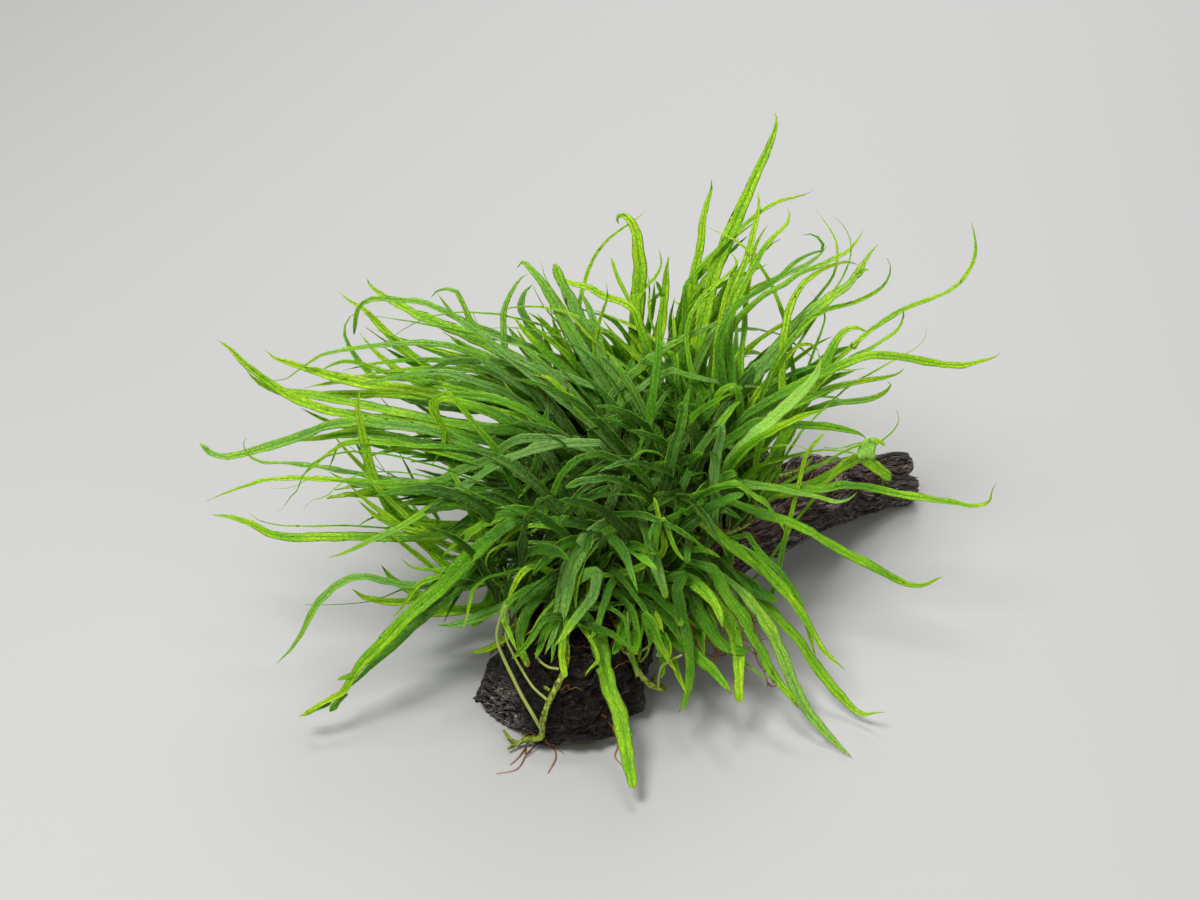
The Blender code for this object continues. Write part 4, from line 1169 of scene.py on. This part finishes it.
class Paint:
    """Nodes of one material, added and linked by name, and the colour that they have mixed so far."""

    def __init__(self, name):
        self.material = bpy.data.materials.new(name)
        self.material.use_nodes = True
        self.tree = self.material.node_tree
        self.colour = None

    def feed(self, node, inputs):
        for key, value in inputs.items():
            if isinstance(value, bpy.types.NodeSocket):
                self.tree.links.new(value, node.inputs[key])
            else:
                node.inputs[key].default_value = value

    def add(self, kind, inputs, output=0, **settings):
        """The output of a new node."""
        node = self.tree.nodes.new("ShaderNode" + kind)
        for key, value in settings.items():
            setattr(node, key, value)
        self.feed(node, inputs)
        return node.outputs[output]

    def attribute(self, name, output="Fac"):
        return self.add("Attribute", {}, output, attribute_name=name)

    def math(self, operation, a, b=0.0, c=0.0, clamp=False):
        return self.add("Math", {0: a, 1: b, 2: c}, operation=operation, use_clamp=clamp)

    def times(self, a, b):
        return self.math("MULTIPLY", a, b)

    def total(self, *terms, start=0.0):
        """The sum of values, each times its weight."""
        for value, weight in terms:
            start = self.math("MULTIPLY_ADD", value, weight, start)
        return start

    def rest(self, value, weight=1.0):
        """What a value, times its weight, leaves of one."""
        return self.total((value, -weight), start=1.0)

    def scaled(self, value, low, high, to_low=0.0, to_high=1.0, shape="SMOOTHSTEP"):
        inputs = {0: value, 1: low, 2: high, 3: to_low, 4: to_high}
        return self.add("MapRange", inputs, interpolation_type=shape)

    def mix(self, factor, a, b, blend="MIX"):
        return self.add("Mix", {0: factor, 6: a, 7: b}, 2, data_type="RGBA", blend_type=blend)

    def coat(self, factor, *values, blend="MIX"):
        """Mixes one more colour over the colour so far."""
        self.colour = self.mix(factor, self.colour, rgb(*values), blend)

    def ramp(self, value, tones):
        colour = self.add("ValToRGB", {0: value})
        elements = colour.node.color_ramp.elements
        for number, (place, values) in enumerate(tones):
            stop = elements[number] if number < 2 else elements.new(place)
            stop.position = place
            stop.color = rgb(*values)
        return colour

    def stretched(self, vector, stretch):
        return self.add("VectorMath", {0: vector, 1: stretch}, operation="MULTIPLY")

    def noise(self, vector, stretch, detail=3.0, roughness=0.5, output=0):
        inputs = {"Vector": self.stretched(vector, stretch), "Scale": 1.0}
        return self.add("TexNoise", {**inputs, "Detail": detail, "Roughness": roughness}, output)

    def cells(self, vector, stretch, output=0, **settings):
        inputs = {"Vector": self.stretched(vector, stretch), "Scale": 1.0}
        return self.add("TexVoronoi", inputs, output, **settings)

    def part(self, vector, number):
        return self.add("SeparateXYZ", {0: vector}, number)

    def finish(self, inputs, height=None, strength=1.0, distance=MM):
        """Gives the surface its colour, its relief and its other values."""
        if height is not None:
            relief = {"Height": height, "Strength": strength, "Distance": distance}
            inputs["Normal"] = self.add("Bump", relief)
        self.feed(self.tree.nodes["Principled BSDF"], {"Base Color": self.colour, **inputs})
        return self.material


def leaf_material():
    paint = Paint("fern leaf")
    place = paint.attribute("place", "Vector")
    share = paint.attribute("share")
    age = paint.attribute("age")
    bloom = paint.attribute("bloom")
    patches = paint.noise(place, (0.10, 0.035, 1), 3)
    lighter = paint.scaled(patches, 0.25, 0.75, -0.16, 0.16)
    paint.colour = paint.ramp(paint.math("ADD", paint.attribute("tone"), lighter, clamp=True), LEAF_TONES)
    # Some leaves have painted sheen: a greyer colour in long patches that stands in for the gloss of a wet
    # blade
    painted_sheen_share = paint.times(paint.math("MINIMUM", bloom, 1.0), paint.scaled(patches, 0.28, 0.60, 0.15, 0.62))
    paint.coat(painted_sheen_share, 0.25, 0.50, 0.125)
    # Veins run along the blade, and a net of finer ones lies between them
    veins = paint.noise(place, (1.5, 0.020, 1), 2)
    paint.coat(paint.scaled(veins, 0.48, 0.72, 0, 0.19), 0.36, 0.56, 0.04)
    paint.coat(paint.scaled(veins, 0.30, 0.48, 0.28, 0), 0.012, 0.07, 0.004)
    net = paint.cells(place, (0.62, 0.26, 1), feature="DISTANCE_TO_EDGE")
    paint.coat(paint.scaled(net, 0.0, 0.16, 0.30, 0), 0.02, 0.09, 0.006)
    pucker = paint.noise(place, (0.75, 0.42, 1), 3, 0.6)
    paint.coat(paint.scaled(pucker, 0.50, 0.75, 0, 0.22), 0.24, 0.46, 0.04)
    # The blade is darker beside its rib and paler on the rib, and a painted highlight runs along its edges
    off_middle = paint.math("ABSOLUTE", paint.attribute("across"))
    rib = paint.scaled(off_middle, 0.02, 0.13, 1, 0)
    paint.coat(paint.scaled(off_middle, 0.10, 0.26, 0.22, 0), 0.02, 0.10, 0.008)
    paint.coat(paint.times(rib, 0.30), 0.24, 0.42, 0.04)
    # Painted highlight along the blade's edges, as of light shining through them
    paint.coat(paint.scaled(off_middle, 0.80, 1.0, 0, 0.6), 0.38, 0.60, 0.035)
    # A few leaves are pale all over with painted sheen
    paint.coat(paint.scaled(bloom, 1.0, 2.0, 0, 0.76), 0.46, 0.92, 0.13)
    # The underside is paler and greyer
    paint.coat(paint.times(paint.attribute("under"), 0.45), 0.17, 0.31, 0.04)
    # The stalk is pale at its foot
    paint.coat(paint.scaled(share, 0.04, 0.24, 0.75, 0), 0.20, 0.27, 0.055)
    # Old leaves have more brown flecks than the others, and a brown tip
    flecks = paint.noise(place, (0.55, 0.22, 1), 4, 0.6)
    over = paint.math("SUBTRACT", flecks, paint.scaled(age, 0.0, 1.0, 0.74, 0.58))
    paint.coat(paint.times(paint.math("MULTIPLY", over, 16.0, clamp=True), 0.8), 0.085, 0.040, 0.012)
    tip = paint.scaled(paint.total((flecks, 0.12), start=share), 1.0, 1.05)
    paint.coat(paint.times(tip, paint.scaled(age, 0.2, 0.7)), 0.16, 0.085, 0.02)
    # Dark pinholes and spore patches stand here and there, and reddish spots where they are drawn
    dots = paint.cells(place, (0.42, 0.17, 1))
    chosen = paint.scaled(paint.add("SeparateColor", {0: dots.node.outputs[1]}), 0.80, 0.84)
    paint.coat(paint.times(paint.scaled(dots, 0.10, 0.20, 0.85, 0), chosen), 0.030, 0.020, 0.008)
    paint.coat(paint.scaled(paint.attribute("spot"), 0.1, 0.8), 0.10, 0.022, 0.006)
    height = paint.total((paint.scaled(net, 0.0, 0.16), 0.5), (rib, -0.6), (veins, 0.9), (pucker, 1.5))
    inputs = {
        "Roughness": paint.scaled(flecks, 0.3, 0.7, 0.24, 0.42),
        "Subsurface Weight": 0.30,
        "Subsurface Radius": (0.4, 1.0, 0.12),
        "Subsurface Scale": 1.2 * MM,
        "Specular IOR Level": 0.42,
        "Specular Tint": rgb(0.72, 1.0, 0.42),
    }
    return paint.finish(inputs, height, 0.75, 0.6 * MM)


def wood_material():
    paint = Paint("soaked driftwood")
    grain = paint.attribute("grain", "Vector")
    pale = paint.attribute("pale")
    # The grain wanders, and is made of strands about a millimetre wide, each with its own shade
    sway = paint.stretched(paint.noise(grain, (0.07, 0.07, 0.05), 2, output=1), (6.0, 6.0, 2.0))
    swung = paint.add("VectorMath", {0: grain, 1: sway}, operation="ADD")
    strands = paint.cells(swung, (0.95, 0.95, 0.075))
    shade = paint.add("SeparateColor", {0: strands.node.outputs[1]})
    fibres = paint.noise(swung, (0.42, 0.42, 0.030), 5, 0.7)
    threads = paint.noise(swung, (2.2, 2.2, 0.16), 2, 0.6)
    pits = paint.noise(grain, (0.55, 0.55, 0.45), 5, 0.72)
    specks = paint.noise(grain, (1.9, 1.9, 1.6), 2, 0.6)

    def clefts(stretch, detail, width):
        """Nought along lines where a noise crosses its middle, and one away from them."""
        off_middle = paint.math("SUBTRACT", paint.noise(swung, stretch, detail, 0.6), 0.5)
        return paint.scaled(paint.math("ABSOLUTE", off_middle), 0.0, width)

    creases = clefts((1.5, 1.5, 0.045), 2, 0.07)
    cracks = paint.times(clefts((0.75, 0.75, 0.024), 3, 0.055), paint.scaled(creases, 0, 1, 0.35, 1))
    # The limb starts past the stump's pitted bulk
    along = paint.part(grain, 2)
    limb = paint.scaled(along, 105, 150)
    bulk = paint.times(paint.scaled(along, 14, 34), paint.rest(limb))
    level = paint.total(
        (paint.scaled(fibres, 0.30, 0.70, -0.7, 0.8), 1.0),
        (paint.scaled(threads, 0.30, 0.70, -0.5, 0.5), 1.0),
        (shade, 0.9),
        (cracks, 1.3),
        start=-1.75,
    )
    level = paint.times(level, paint.rest(bulk, 0.75))
    pitted = paint.scaled(specks, 0.3, 0.7, -0.4, 0.4)
    pitted = paint.math("ADD", paint.scaled(pits, 0.32, 0.68, -1.0, 0.9), pitted)
    height = paint.attribute("height")
    level = paint.total((paint.times(pitted, bulk), 0.8), (height, 0.35), (pale, 0.5), start=level)
    dark = paint.ramp(paint.scaled(level, -1.5, 1.5, shape="LINEAR"), STUMP_TONES)
    paler = paint.ramp(paint.scaled(level, -0.95, 1.15, shape="LINEAR"), LIMB_TONES)

    def tinted(*values):
        return paint.mix(1.0, paler, rgb(*values), "MULTIPLY")

    # The limb is pinkish above and greyer at its sides; its top is also painted lighter and its sides darker,
    # as painted light and shade
    top = paint.scaled(paint.part(grain, 1), -6, 16)
    paint.colour = paint.mix(limb, dark, paint.mix(top, tinted(0.80, 0.80, 0.80), tinted(1.22, 0.98, 0.95)))
    blotches = paint.noise(grain, (0.06, 0.06, 0.035), 4)
    paint.coat(paint.scaled(blotches, 0.50, 0.75, 0, 0.3), 0.026, 0.012, 0.007, blend="ADD")
    # Painted glints: light dashes on the stump's bulk that stand in for wet highlights on its fibres
    painted_glints = paint.scaled(paint.noise(swung, (1.7, 1.7, 0.55), 2, 0.6), 0.62, 0.70)
    painted_glints = paint.times(painted_glints, paint.scaled(pits, 0.42, 0.60, 0.1, 0.75))
    paint.coat(paint.times(painted_glints, bulk), 0.20, 0.18, 0.165)
    # The knobs are pale grey
    paint.colour = paint.mix(paint.scaled(pale, 0.02, 0.70, 0, 0.9), paint.colour, tinted(1.18, 1.20, 1.16))
    gaps = paint.scaled(strands, 0.30, 0.75)
    bumps = paint.total((fibres, 1.1), (gaps, -0.25), (threads, 0.45), (cracks, 0.55))
    rugged = paint.total((pits, 1.6), (specks, 1.5))
    bumps = paint.math("MULTIPLY_ADD", rugged, bulk, paint.times(bumps, paint.rest(bulk, 0.7)))
    inputs = {"Roughness": paint.scaled(shade, 0.1, 0.9, 0.17, 0.46), "Specular IOR Level": 0.42}
    return paint.finish(inputs, bumps, 1.0, 1.7 * MM)


def rhizome_material():
    paint = Paint("rhizome skin")
    place = paint.attribute("place", "Vector")
    scales = paint.cells(place, (0.9, 0.9, 0.55))
    paint.colour = paint.ramp(paint.noise(place, (0.5, 0.5, 0.5), 4), SKIN_TONES)
    paint.coat(paint.scaled(scales, 0.40, 0.80, 0, 0.75), 0.060, 0.030, 0.012)
    return paint.finish({"Roughness": 0.5}, scales, 0.7, 0.6 * MM)


def stalk_material():
    paint = Paint("leaf stalk")
    patches = paint.noise(paint.attribute("place", "Vector"), (0.6, 0.6, 0.12), 3)
    paint.colour = paint.ramp(patches, STALK_TONES)
    return paint.finish({"Roughness": 0.4})


def root_material():
    paint = Paint("root hairs")
    paint.colour = paint.ramp(paint.attribute("share"), ROOT_TONES)
    return paint.finish({"Roughness": 0.55, "Specular IOR Level": 0.2})


# ---- putting the plant together ----


def spot_at(line, i, chance):
    """A spot on a rhizome's skin, and the way a stalk stands off there."""
    i = min(max(i, 1), len(line) - 2)
    along = (line[i + 1] - line[i - 1]).normalized()
    across = along.cross(UP).normalized()
    lean = math.radians(chance.uniform(-40, 40))
    off = across.cross(along) * math.cos(lean) + across * math.sin(lean)
    return line[i] + off * RHIZOME_RADIUS * 0.6, off


def spot_beside(foot, chance, spread):
    """A spot on the rhizome nearest to the foot of a leaf, within a few steps along it."""
    line = nearest_rhizome(foot)
    nearest = min(range(len(line)), key=lambda i: (line[i] - foot).length)
    return spot_at(line, nearest + round(chance.uniform(-spread, spread)), chance)


def drawn_line(socket, off, route, chance, nearer=0):
    """The middle line of a leaf from its rhizome through its drawn route, base first."""
    start = drawn_place(socket)
    lengths = [(route[0] - start).length]
    for a, b in zip(route, route[1:]):
        lengths.append(lengths[-1] + (b - a).length)
    rise = (start.y - route[-1].y) * DRAWING_UNIT
    tip_back = (rise - LEVEL_RISE) * BACK_PER_RISE + chance.uniform(-10, 10) * MM
    points = [socket, socket + off * chance.uniform(7, 12) * MM]
    for place, length in zip(route, lengths):
        back = socket.y + tip_back * (length / lengths[-1]) ** BACK_POWER - nearer * length / lengths[-1]
        points.append(seen_at(place.x, place.y, back))
    return points


def tone_at(place, chance):
    """Darker with painted shade in the clump's middle as it is drawn, and limer towards its outline."""
    # Above this row the painted shade is held lighter
    darkest = 0.40 if place.y < LESS_SHADE_ABOVE else 1
    tone = 1.12 - 0.82 * reaches_from(PAINTED_SHADE_MIDDLE, PAINTED_SHADE_REACH, place) + chance.gauss(0, 0.17)
    return min(max(tone, 0.04), darkest)


def clear_of_wood(line):
    """Whether a leaf's line, past its foot, stays out of the wood and off the floor."""
    for a, b in zip(line[2:], line[3:]):
        step = b - a
        if min(a.z, b.z) < FLOOR_CLEARANCE:
            return False
        if WOOD.ray_cast(a, step.normalized(), step.length)[0] is not None:
            return False
    return True


def within_mass(place):
    """Whether a drawn place lies in the clump's closed mass."""
    inside = False
    for (left, top), (right, bottom) in zip(CLOSED_MASS, CLOSED_MASS[1:] + CLOSED_MASS[:1]):
        if (top > place.y) != (bottom > place.y):
            if place.x < left + (right - left) * (place.y - top) / (bottom - top):
                inside = not inside
    return inside


def fits(line):
    """Whether a leaf stays clear of the wood and isn't drawn where the photograph shows bare wood or none."""
    return clear_of_wood(line) and all(within_mass(drawn_place(point)) for point in line[len(line) // 3 :])


def add_fitting(shape, line, widths, blunt, chance, stations=STATIONS):
    """Adds a leaf along a line, with a width in millimetres between these and a chance of a blunt end."""
    width = chance.uniform(*widths) * MM
    kind = "x" if chance.random() < blunt else ""
    tone = tone_at(drawn_place(line[-1]), chance)
    add_leaf(shape, Leaf(line, width, tone, chance, kind, stations=stations))


def line_between(first, second, chance):
    """A line somewhat shorter than two neighbouring leaves, between them."""
    mix = chance.uniform(0.15, 0.85)
    reach = chance.uniform(0.50, 0.96)
    a, b = evenly(LINES[first], 20), evenly(LINES[second], 20)
    socket, off = spot_beside(a[0].lerp(b[0], mix), chance, 1.5)
    points = [socket, socket + off * chance.uniform(7, 12) * MM]
    behind = chance.uniform(9, 30) * MM
    bend = scattered(chance).normalized() * chance.uniform(0, 11) * MM
    for k in range(2, 11):
        share = k / 10 * reach
        i = min(int(share * 20), 19)
        part = share * 20 - i
        place = a[i].lerp(a[i + 1], part).lerp(b[i].lerp(b[i + 1], part), mix)
        droop = UP * (-14 * MM * (k / 10) ** 3)
        place = place + bend * math.sin(math.pi * k / 10) + droop
        points.append(place + (place - VIEWER).normalized() * behind * math.sin(math.pi * k / 10) ** 0.5)
    return points


def hem_line(chance):
    """A short leaf that hangs over the front of the clump."""
    name, line = chance.choice(list(RHIZOMES.items()))
    while True:
        share = chance.random() * (len(HEM) - 1)
        i = int(share)
        place = HEM[i].lerp(HEM[i + 1], share - i) - Vector((0, chance.uniform(0, 95)))
        spot = chance.randrange(1, len(line) - 6)
        start = drawn_place(line[spot])
        away = place - start
        if 45 < away.length < 150 and abs(away.x) < 95 and away.y > 10:
            break
    socket, off = spot_at(line, spot, chance)
    top = start.lerp(place, chance.uniform(0.25, 0.45)) - Vector((0, chance.uniform(14, 44)))
    low = start.lerp(place, 0.75) + Vector((away.x * 0.08, -chance.uniform(2, 16)))
    return drawn_line(socket, off, [top, low, place], chance)


def small_leaf_line(start, turn, length, droop):
    """A small leaf's arc: up off its rhizome, then out and over."""
    out = Vector((math.cos(turn), math.sin(turn), 0))
    line = [start.copy()]
    for k in range(9):
        pitch = math.radians(82) - droop * ((k + 1) / 9) ** 1.3
        line.append(line[-1] + (out * math.cos(pitch) + UP * math.sin(pitch)) * (length / 9))
    return line


def main_leaf(node):
    """The leaf that stands for a leaf node of the solids."""
    tone, kind = LOOKS[node]
    chance = random.Random(f"{node} main {SEED}")
    stalk = WIDE_STALK if "w" in kind else STALK
    leaf = Leaf(LINES[node], WIDTHS[node], tone, chance, kind, stalk, MAIN_STATIONS, 0.2)
    leaf.twist *= 0.2
    leaf.roll *= 0.6
    leaf.cup *= 0.6
    if "w" in kind:
        leaf.twist, leaf.roll, leaf.cup = 0, 0.05, 0.12
    return leaf


def lobe(route, width, tone, kind, leaves, chance):
    """A short lobe, drawn out of the nearest blade at that blade's depth."""
    near = [point for leaf in leaves for point in leaf.line]
    root = min(near, key=lambda point: (drawn_place(point) - route[0]).length)
    line = [seen_at(place.x, place.y, root.y) for place in route]
    leaf = Leaf(line, width * BROADER, tone, chance, kind, LOBE_STALK, LOBE_STATIONS, 0.2)
    leaf.twist *= 0.3
    leaf.fade = LOBE_FADE
    return leaf


def all_leaves():
    """By leaf node of the solids, the leaf that stands for it and those traced beside it."""
    found = {node: [main_leaf(node)] for node in LOOKS}
    for number, (beside, width, tone, kind, route) in enumerate(rows_of(TRACED)):
        node, width, tone = "leaf_" + beside, float(width), float(tone)
        chance = random.Random(f"traced {number} {SEED}")
        if "t" in kind:
            route.reverse()
        if "l" in kind:
            found[node].append(lobe(route, width * MM, tone, kind, found[node], chance))
            continue
        socket, off = spot_beside(LINES[node][0], chance, 1.4)
        line = drawn_line(socket, off, route, chance, NEARER if "f" in kind else 0)
        stalk = THIN_STALK if width < 2 else STALK
        leaf = Leaf(line, width * TRACED_BROADER * MM, tone, chance, kind, stalk, rough=0.5)
        leaf.twist *= 0.5
        leaf.cup *= 0.7
        found[node].append(leaf)
    return found


def make_leaves(material):
    found = all_leaves()
    behind = [node for node in found if "back" in node]
    round_about = [node for node in found if "back" not in node]
    for node, leaves in found.items():
        chance = random.Random(f"{node} {SEED}")
        ring = behind if node in behind else round_about
        shape = Shape()
        for leaf in leaves:
            add_leaf(shape, leaf)
        for _ in range(BETWEEN[node.split("_")[1]]):
            other = ring[(ring.index(node) + chance.choice((1, 1, 2))) % len(ring)]
            line = line_between(node, other, chance)
            if fits(line):
                add_fitting(shape, line, BETWEEN_WIDTHS, BETWEEN_BLUNT, chance)
        strip_uvs(shape)
        shape.make(node.replace("leaf", "fern_leaves"), (node,), material)


def make_small_leaves(material):
    for name, rhizome in RHIZOMES.items():
        chance = random.Random(f"{name} {SEED}")
        spots = evenly(rhizome, 200)
        first = 6 if name == "rhizome_left" else 70
        last = max(i for i, point in enumerate(spots) if drawn_place(point).x < BARE_FROM)
        lines = []
        for _ in range(SMALL_LEAVES):
            spot = spots[first + int((last - first) * chance.random())]
            turn = chance.uniform(0, 2 * math.pi)
            length = chance.uniform(55, 125) * MM
            lines.append(small_leaf_line(spot, turn, length, math.radians(chance.uniform(35, 120))))
        lines += [hem_line(chance) for _ in range(HEM_LEAVES)]
        shape = Shape()
        for line in lines:
            if fits(line):
                add_fitting(shape, line, SMALL_WIDTHS, SMALL_BLUNT, chance, SMALL_STATIONS)
        strip_uvs(shape)
        shape.make(name + "_leaves", (name,), material)


def add_tube(shape, line, radius_at, sides, seed=0.0):
    """A closed round tube along a line."""
    side = RIGHT
    points, places, shares = [], [], []
    at = 0.0
    for i, along in enumerate(tangents(line)):
        side = (side - along * side.dot(along)).normalized()
        up = along.cross(side)
        share = i / (len(line) - 1)
        if i:
            at += (line[i] - line[i - 1]).length
        for k in range(sides):
            a = 2 * math.pi * k / sides
            points.append(line[i] + (side * math.cos(a) + up * math.sin(a)) * radius_at(share, a))
            places.append((math.cos(a) * 2 + seed, math.sin(a) * 2, at / MM))
            shares.append(share)
    shape.add(points, closed_faces(len(line), sides), place=places, share=shares)


def tapering(radius, loss):
    """The radius along a tube that loses this share of its first radius."""
    return lambda share, a: radius * (1 - loss * share)


def scaly_radius(share, a):
    """The radius of a rhizome, with the scales and bumps of its skin."""
    end = min(share, 1 - share) / 0.03
    bumps = 0.16 * noise.noise(Vector((math.cos(a) * 1.5, math.sin(a) * 1.5, share * 60)))
    scaly = 0.14 * abs(math.sin(share * 190 + 2 * math.sin(a * 2)))
    return RHIZOME_RADIUS * min(0.35 + 0.65 * end, 1) * (0.60 + bumps + scaly)


def make_rhizomes(material):
    for name, line in RHIZOMES.items():
        shape = Shape()
        add_tube(shape, smooth(line, 260), scaly_radius, 16)
        for route in SHOOTS.get(name, ()):
            drawn = [drawn_on_wood(column, row, 3.5 * MM) for column, row in drawn_route(route)]
            add_tube(shape, smooth(drawn, 12), tapering(1.1 * MM, 0.35 / 1.1), 8, 5.0)
        shape.make(name + "_stem", (name,), material)


def make_stalks(material):
    """Bare leaf stalks that rise in front of the stump into the leaves, and some that hang from the limb."""
    shape = Shape()
    for number, (radius, route) in enumerate(rows_of(STALKS)):
        backs = []
        for i, (column, row) in enumerate(route):
            hit = WOOD.ray_cast(VIEWER, sight_line(column, row))[0]
            off_wood = backs[-1] - 2 * MM if backs else SIDE_END_BACK
            backs.append(hit.y - (4 + 2 * i) * MM if hit else off_wood)
        for _ in range(4):
            backs[1:-1] = [min(b, (a + 2 * b + c) / 4) for a, b, c in zip(backs, backs[1:], backs[2:])]
        line = [seen_at(column, row, back) for (column, row), back in zip(route, backs)]
        add_tube(shape, smooth(line, 40), tapering(float(radius) * MM, 0.25), 8, number * 7.0)
    for radius, route in rows_of(HANGING_STALKS):
        add_tube(shape, smooth(hanging_line(route), 30), tapering(float(radius) * MM, 0.3), 8)
    shape.make("leaf_stalks", ("rhizome_middle", "rhizome_right"), material)


def side_root(point, chance):
    """A fine root that wanders across the view from a point of a hanging root."""
    turn = math.radians(chance.uniform(-60, 240))
    step = chance.uniform(0.8, 2.2) * MM
    points = [point]
    for _ in range(7):
        turn += chance.gauss(0, 0.45)
        points.append(points[-1] + (RIGHT * math.cos(turn) - VIEW_UP * math.sin(turn)) * step)
    return smooth(points, 14)


def clinging_root(spot, chance):
    """A fine root that spreads over the wood and droops from a spot of a rhizome."""
    normal = WOOD.find_nearest(spot)[1]
    out = scattered(chance)
    out = (out - normal * out.dot(normal)).normalized()
    reach = chance.uniform(8, 32) * MM
    points = [spot]
    for k in range(1, 9):
        t = k / 8
        wobble = scattered(chance) * reach * 0.06
        points.append(spot + out * reach * t - UP * reach * 0.5 * t * t + wobble)
    return smooth(lifted_clear(points, 0.3 * MM), 16)


def make_roots(material):
    shape = Shape()
    chance = random.Random(f"roots {SEED}")

    def add_root(line, thinnest, thickest, sides, loss=0.6):
        add_tube(shape, line, tapering(chance.uniform(thinnest, thickest) * MM, loss), sides)

    for (route,) in rows_of(LYING_ROOTS):
        line = [drawn_on_wood(column, row, 0.8 * MM) for column, row in route]
        add_root(lifted_clear(smooth(line, 24), 0.6 * MM), 0.35, 0.60, 6)
    for (route,) in rows_of(HANGING_ROOTS):
        line = smooth(hanging_line(route), 20)
        add_root(line, 0.40, 0.75, 6)
        for _ in range(SIDE_ROOTS):
            add_root(side_root(line[chance.randrange(3, 20)], chance), 0.24, 0.42, 4, 0.5)
    for line in RHIZOMES.values():
        spots = evenly(line, 120)
        for _ in range(CLINGING_ROOTS):
            spot = chance.choice(spots)
            if drawn_place(spot).y > BARE_BELOW and chance.random() < 0.75:
                continue
            add_root(clinging_root(spot, chance), 0.12, 0.28, 4)
    shape.make("roots", ("rhizome_middle",), material)


# ---- stage ----

FLOOR_REACH = 6.0
LIGHT_TARGET = Vector((0, 50, 80)) * MM
# Soft round lights: place in metres, size in metres and power in watts
SOFTBOXES = {
    "key": ((-0.45, -0.55, 1.5), 0.6, 19.0),
    "fill": ((0.9, -0.9, 0.9), 1.0, 3.5),
    "rim": ((0.3, 1.3, 1.0), 0.9, 9.0),
    "top": ((0.05, 0.35, 1.4), 0.35, 4.0),
}


def placed(name, data, place, facing):
    """An object in the scene that looks the way it faces."""
    item = bpy.data.objects.new(name, data)
    item.location = place
    item.rotation_mode = "QUATERNION"
    item.rotation_quaternion = facing.to_track_quat("-Z", "Y")
    bpy.context.scene.collection.objects.link(item)
    return item


def make_stage():
    scene = bpy.context.scene
    mesh = bpy.data.meshes.new("floor")
    corners = [(x * FLOOR_REACH, y * FLOOR_REACH, 0) for x, y in ((-1, -1), (1, -1), (1, 1), (-1, 1))]
    mesh.from_pydata(corners, [], [(0, 1, 2, 3)])
    floor = bpy.data.objects.new("floor", mesh)
    scene.collection.objects.link(floor)
    paint = Paint("pale floor")
    paint.colour = rgb(0.57, 0.57, 0.56)
    mesh.materials.append(paint.finish({"Roughness": 0.8}))

    scene.world = bpy.data.worlds.new("studio")
    scene.world.use_nodes = True
    background = scene.world.node_tree.nodes["Background"]
    background.inputs[0].default_value = rgb(1.0, 0.99, 0.97)
    background.inputs[1].default_value = 0.17
    for name, (place, size, energy) in SOFTBOXES.items():
        light = bpy.data.lights.new(name, "AREA")
        light.shape = "DISK"
        light.size = size
        light.energy = energy
        placed(name, light, place, LIGHT_TARGET - Vector(place))

    camera = bpy.data.cameras.new("camera")
    camera.lens = LENS
    camera.sensor_width = SENSOR
    scene.camera = placed("camera", camera, VIEWER, FORWARD)
    scene.view_settings.view_transform = "Standard"


def main():
    leaf = leaf_material()
    make_driftwood(wood_material())
    make_rhizomes(rhizome_material())
    make_stalks(stalk_material())
    make_roots(root_material())
    make_leaves(leaf)
    make_small_leaves(leaf)
    make_stage()


main()
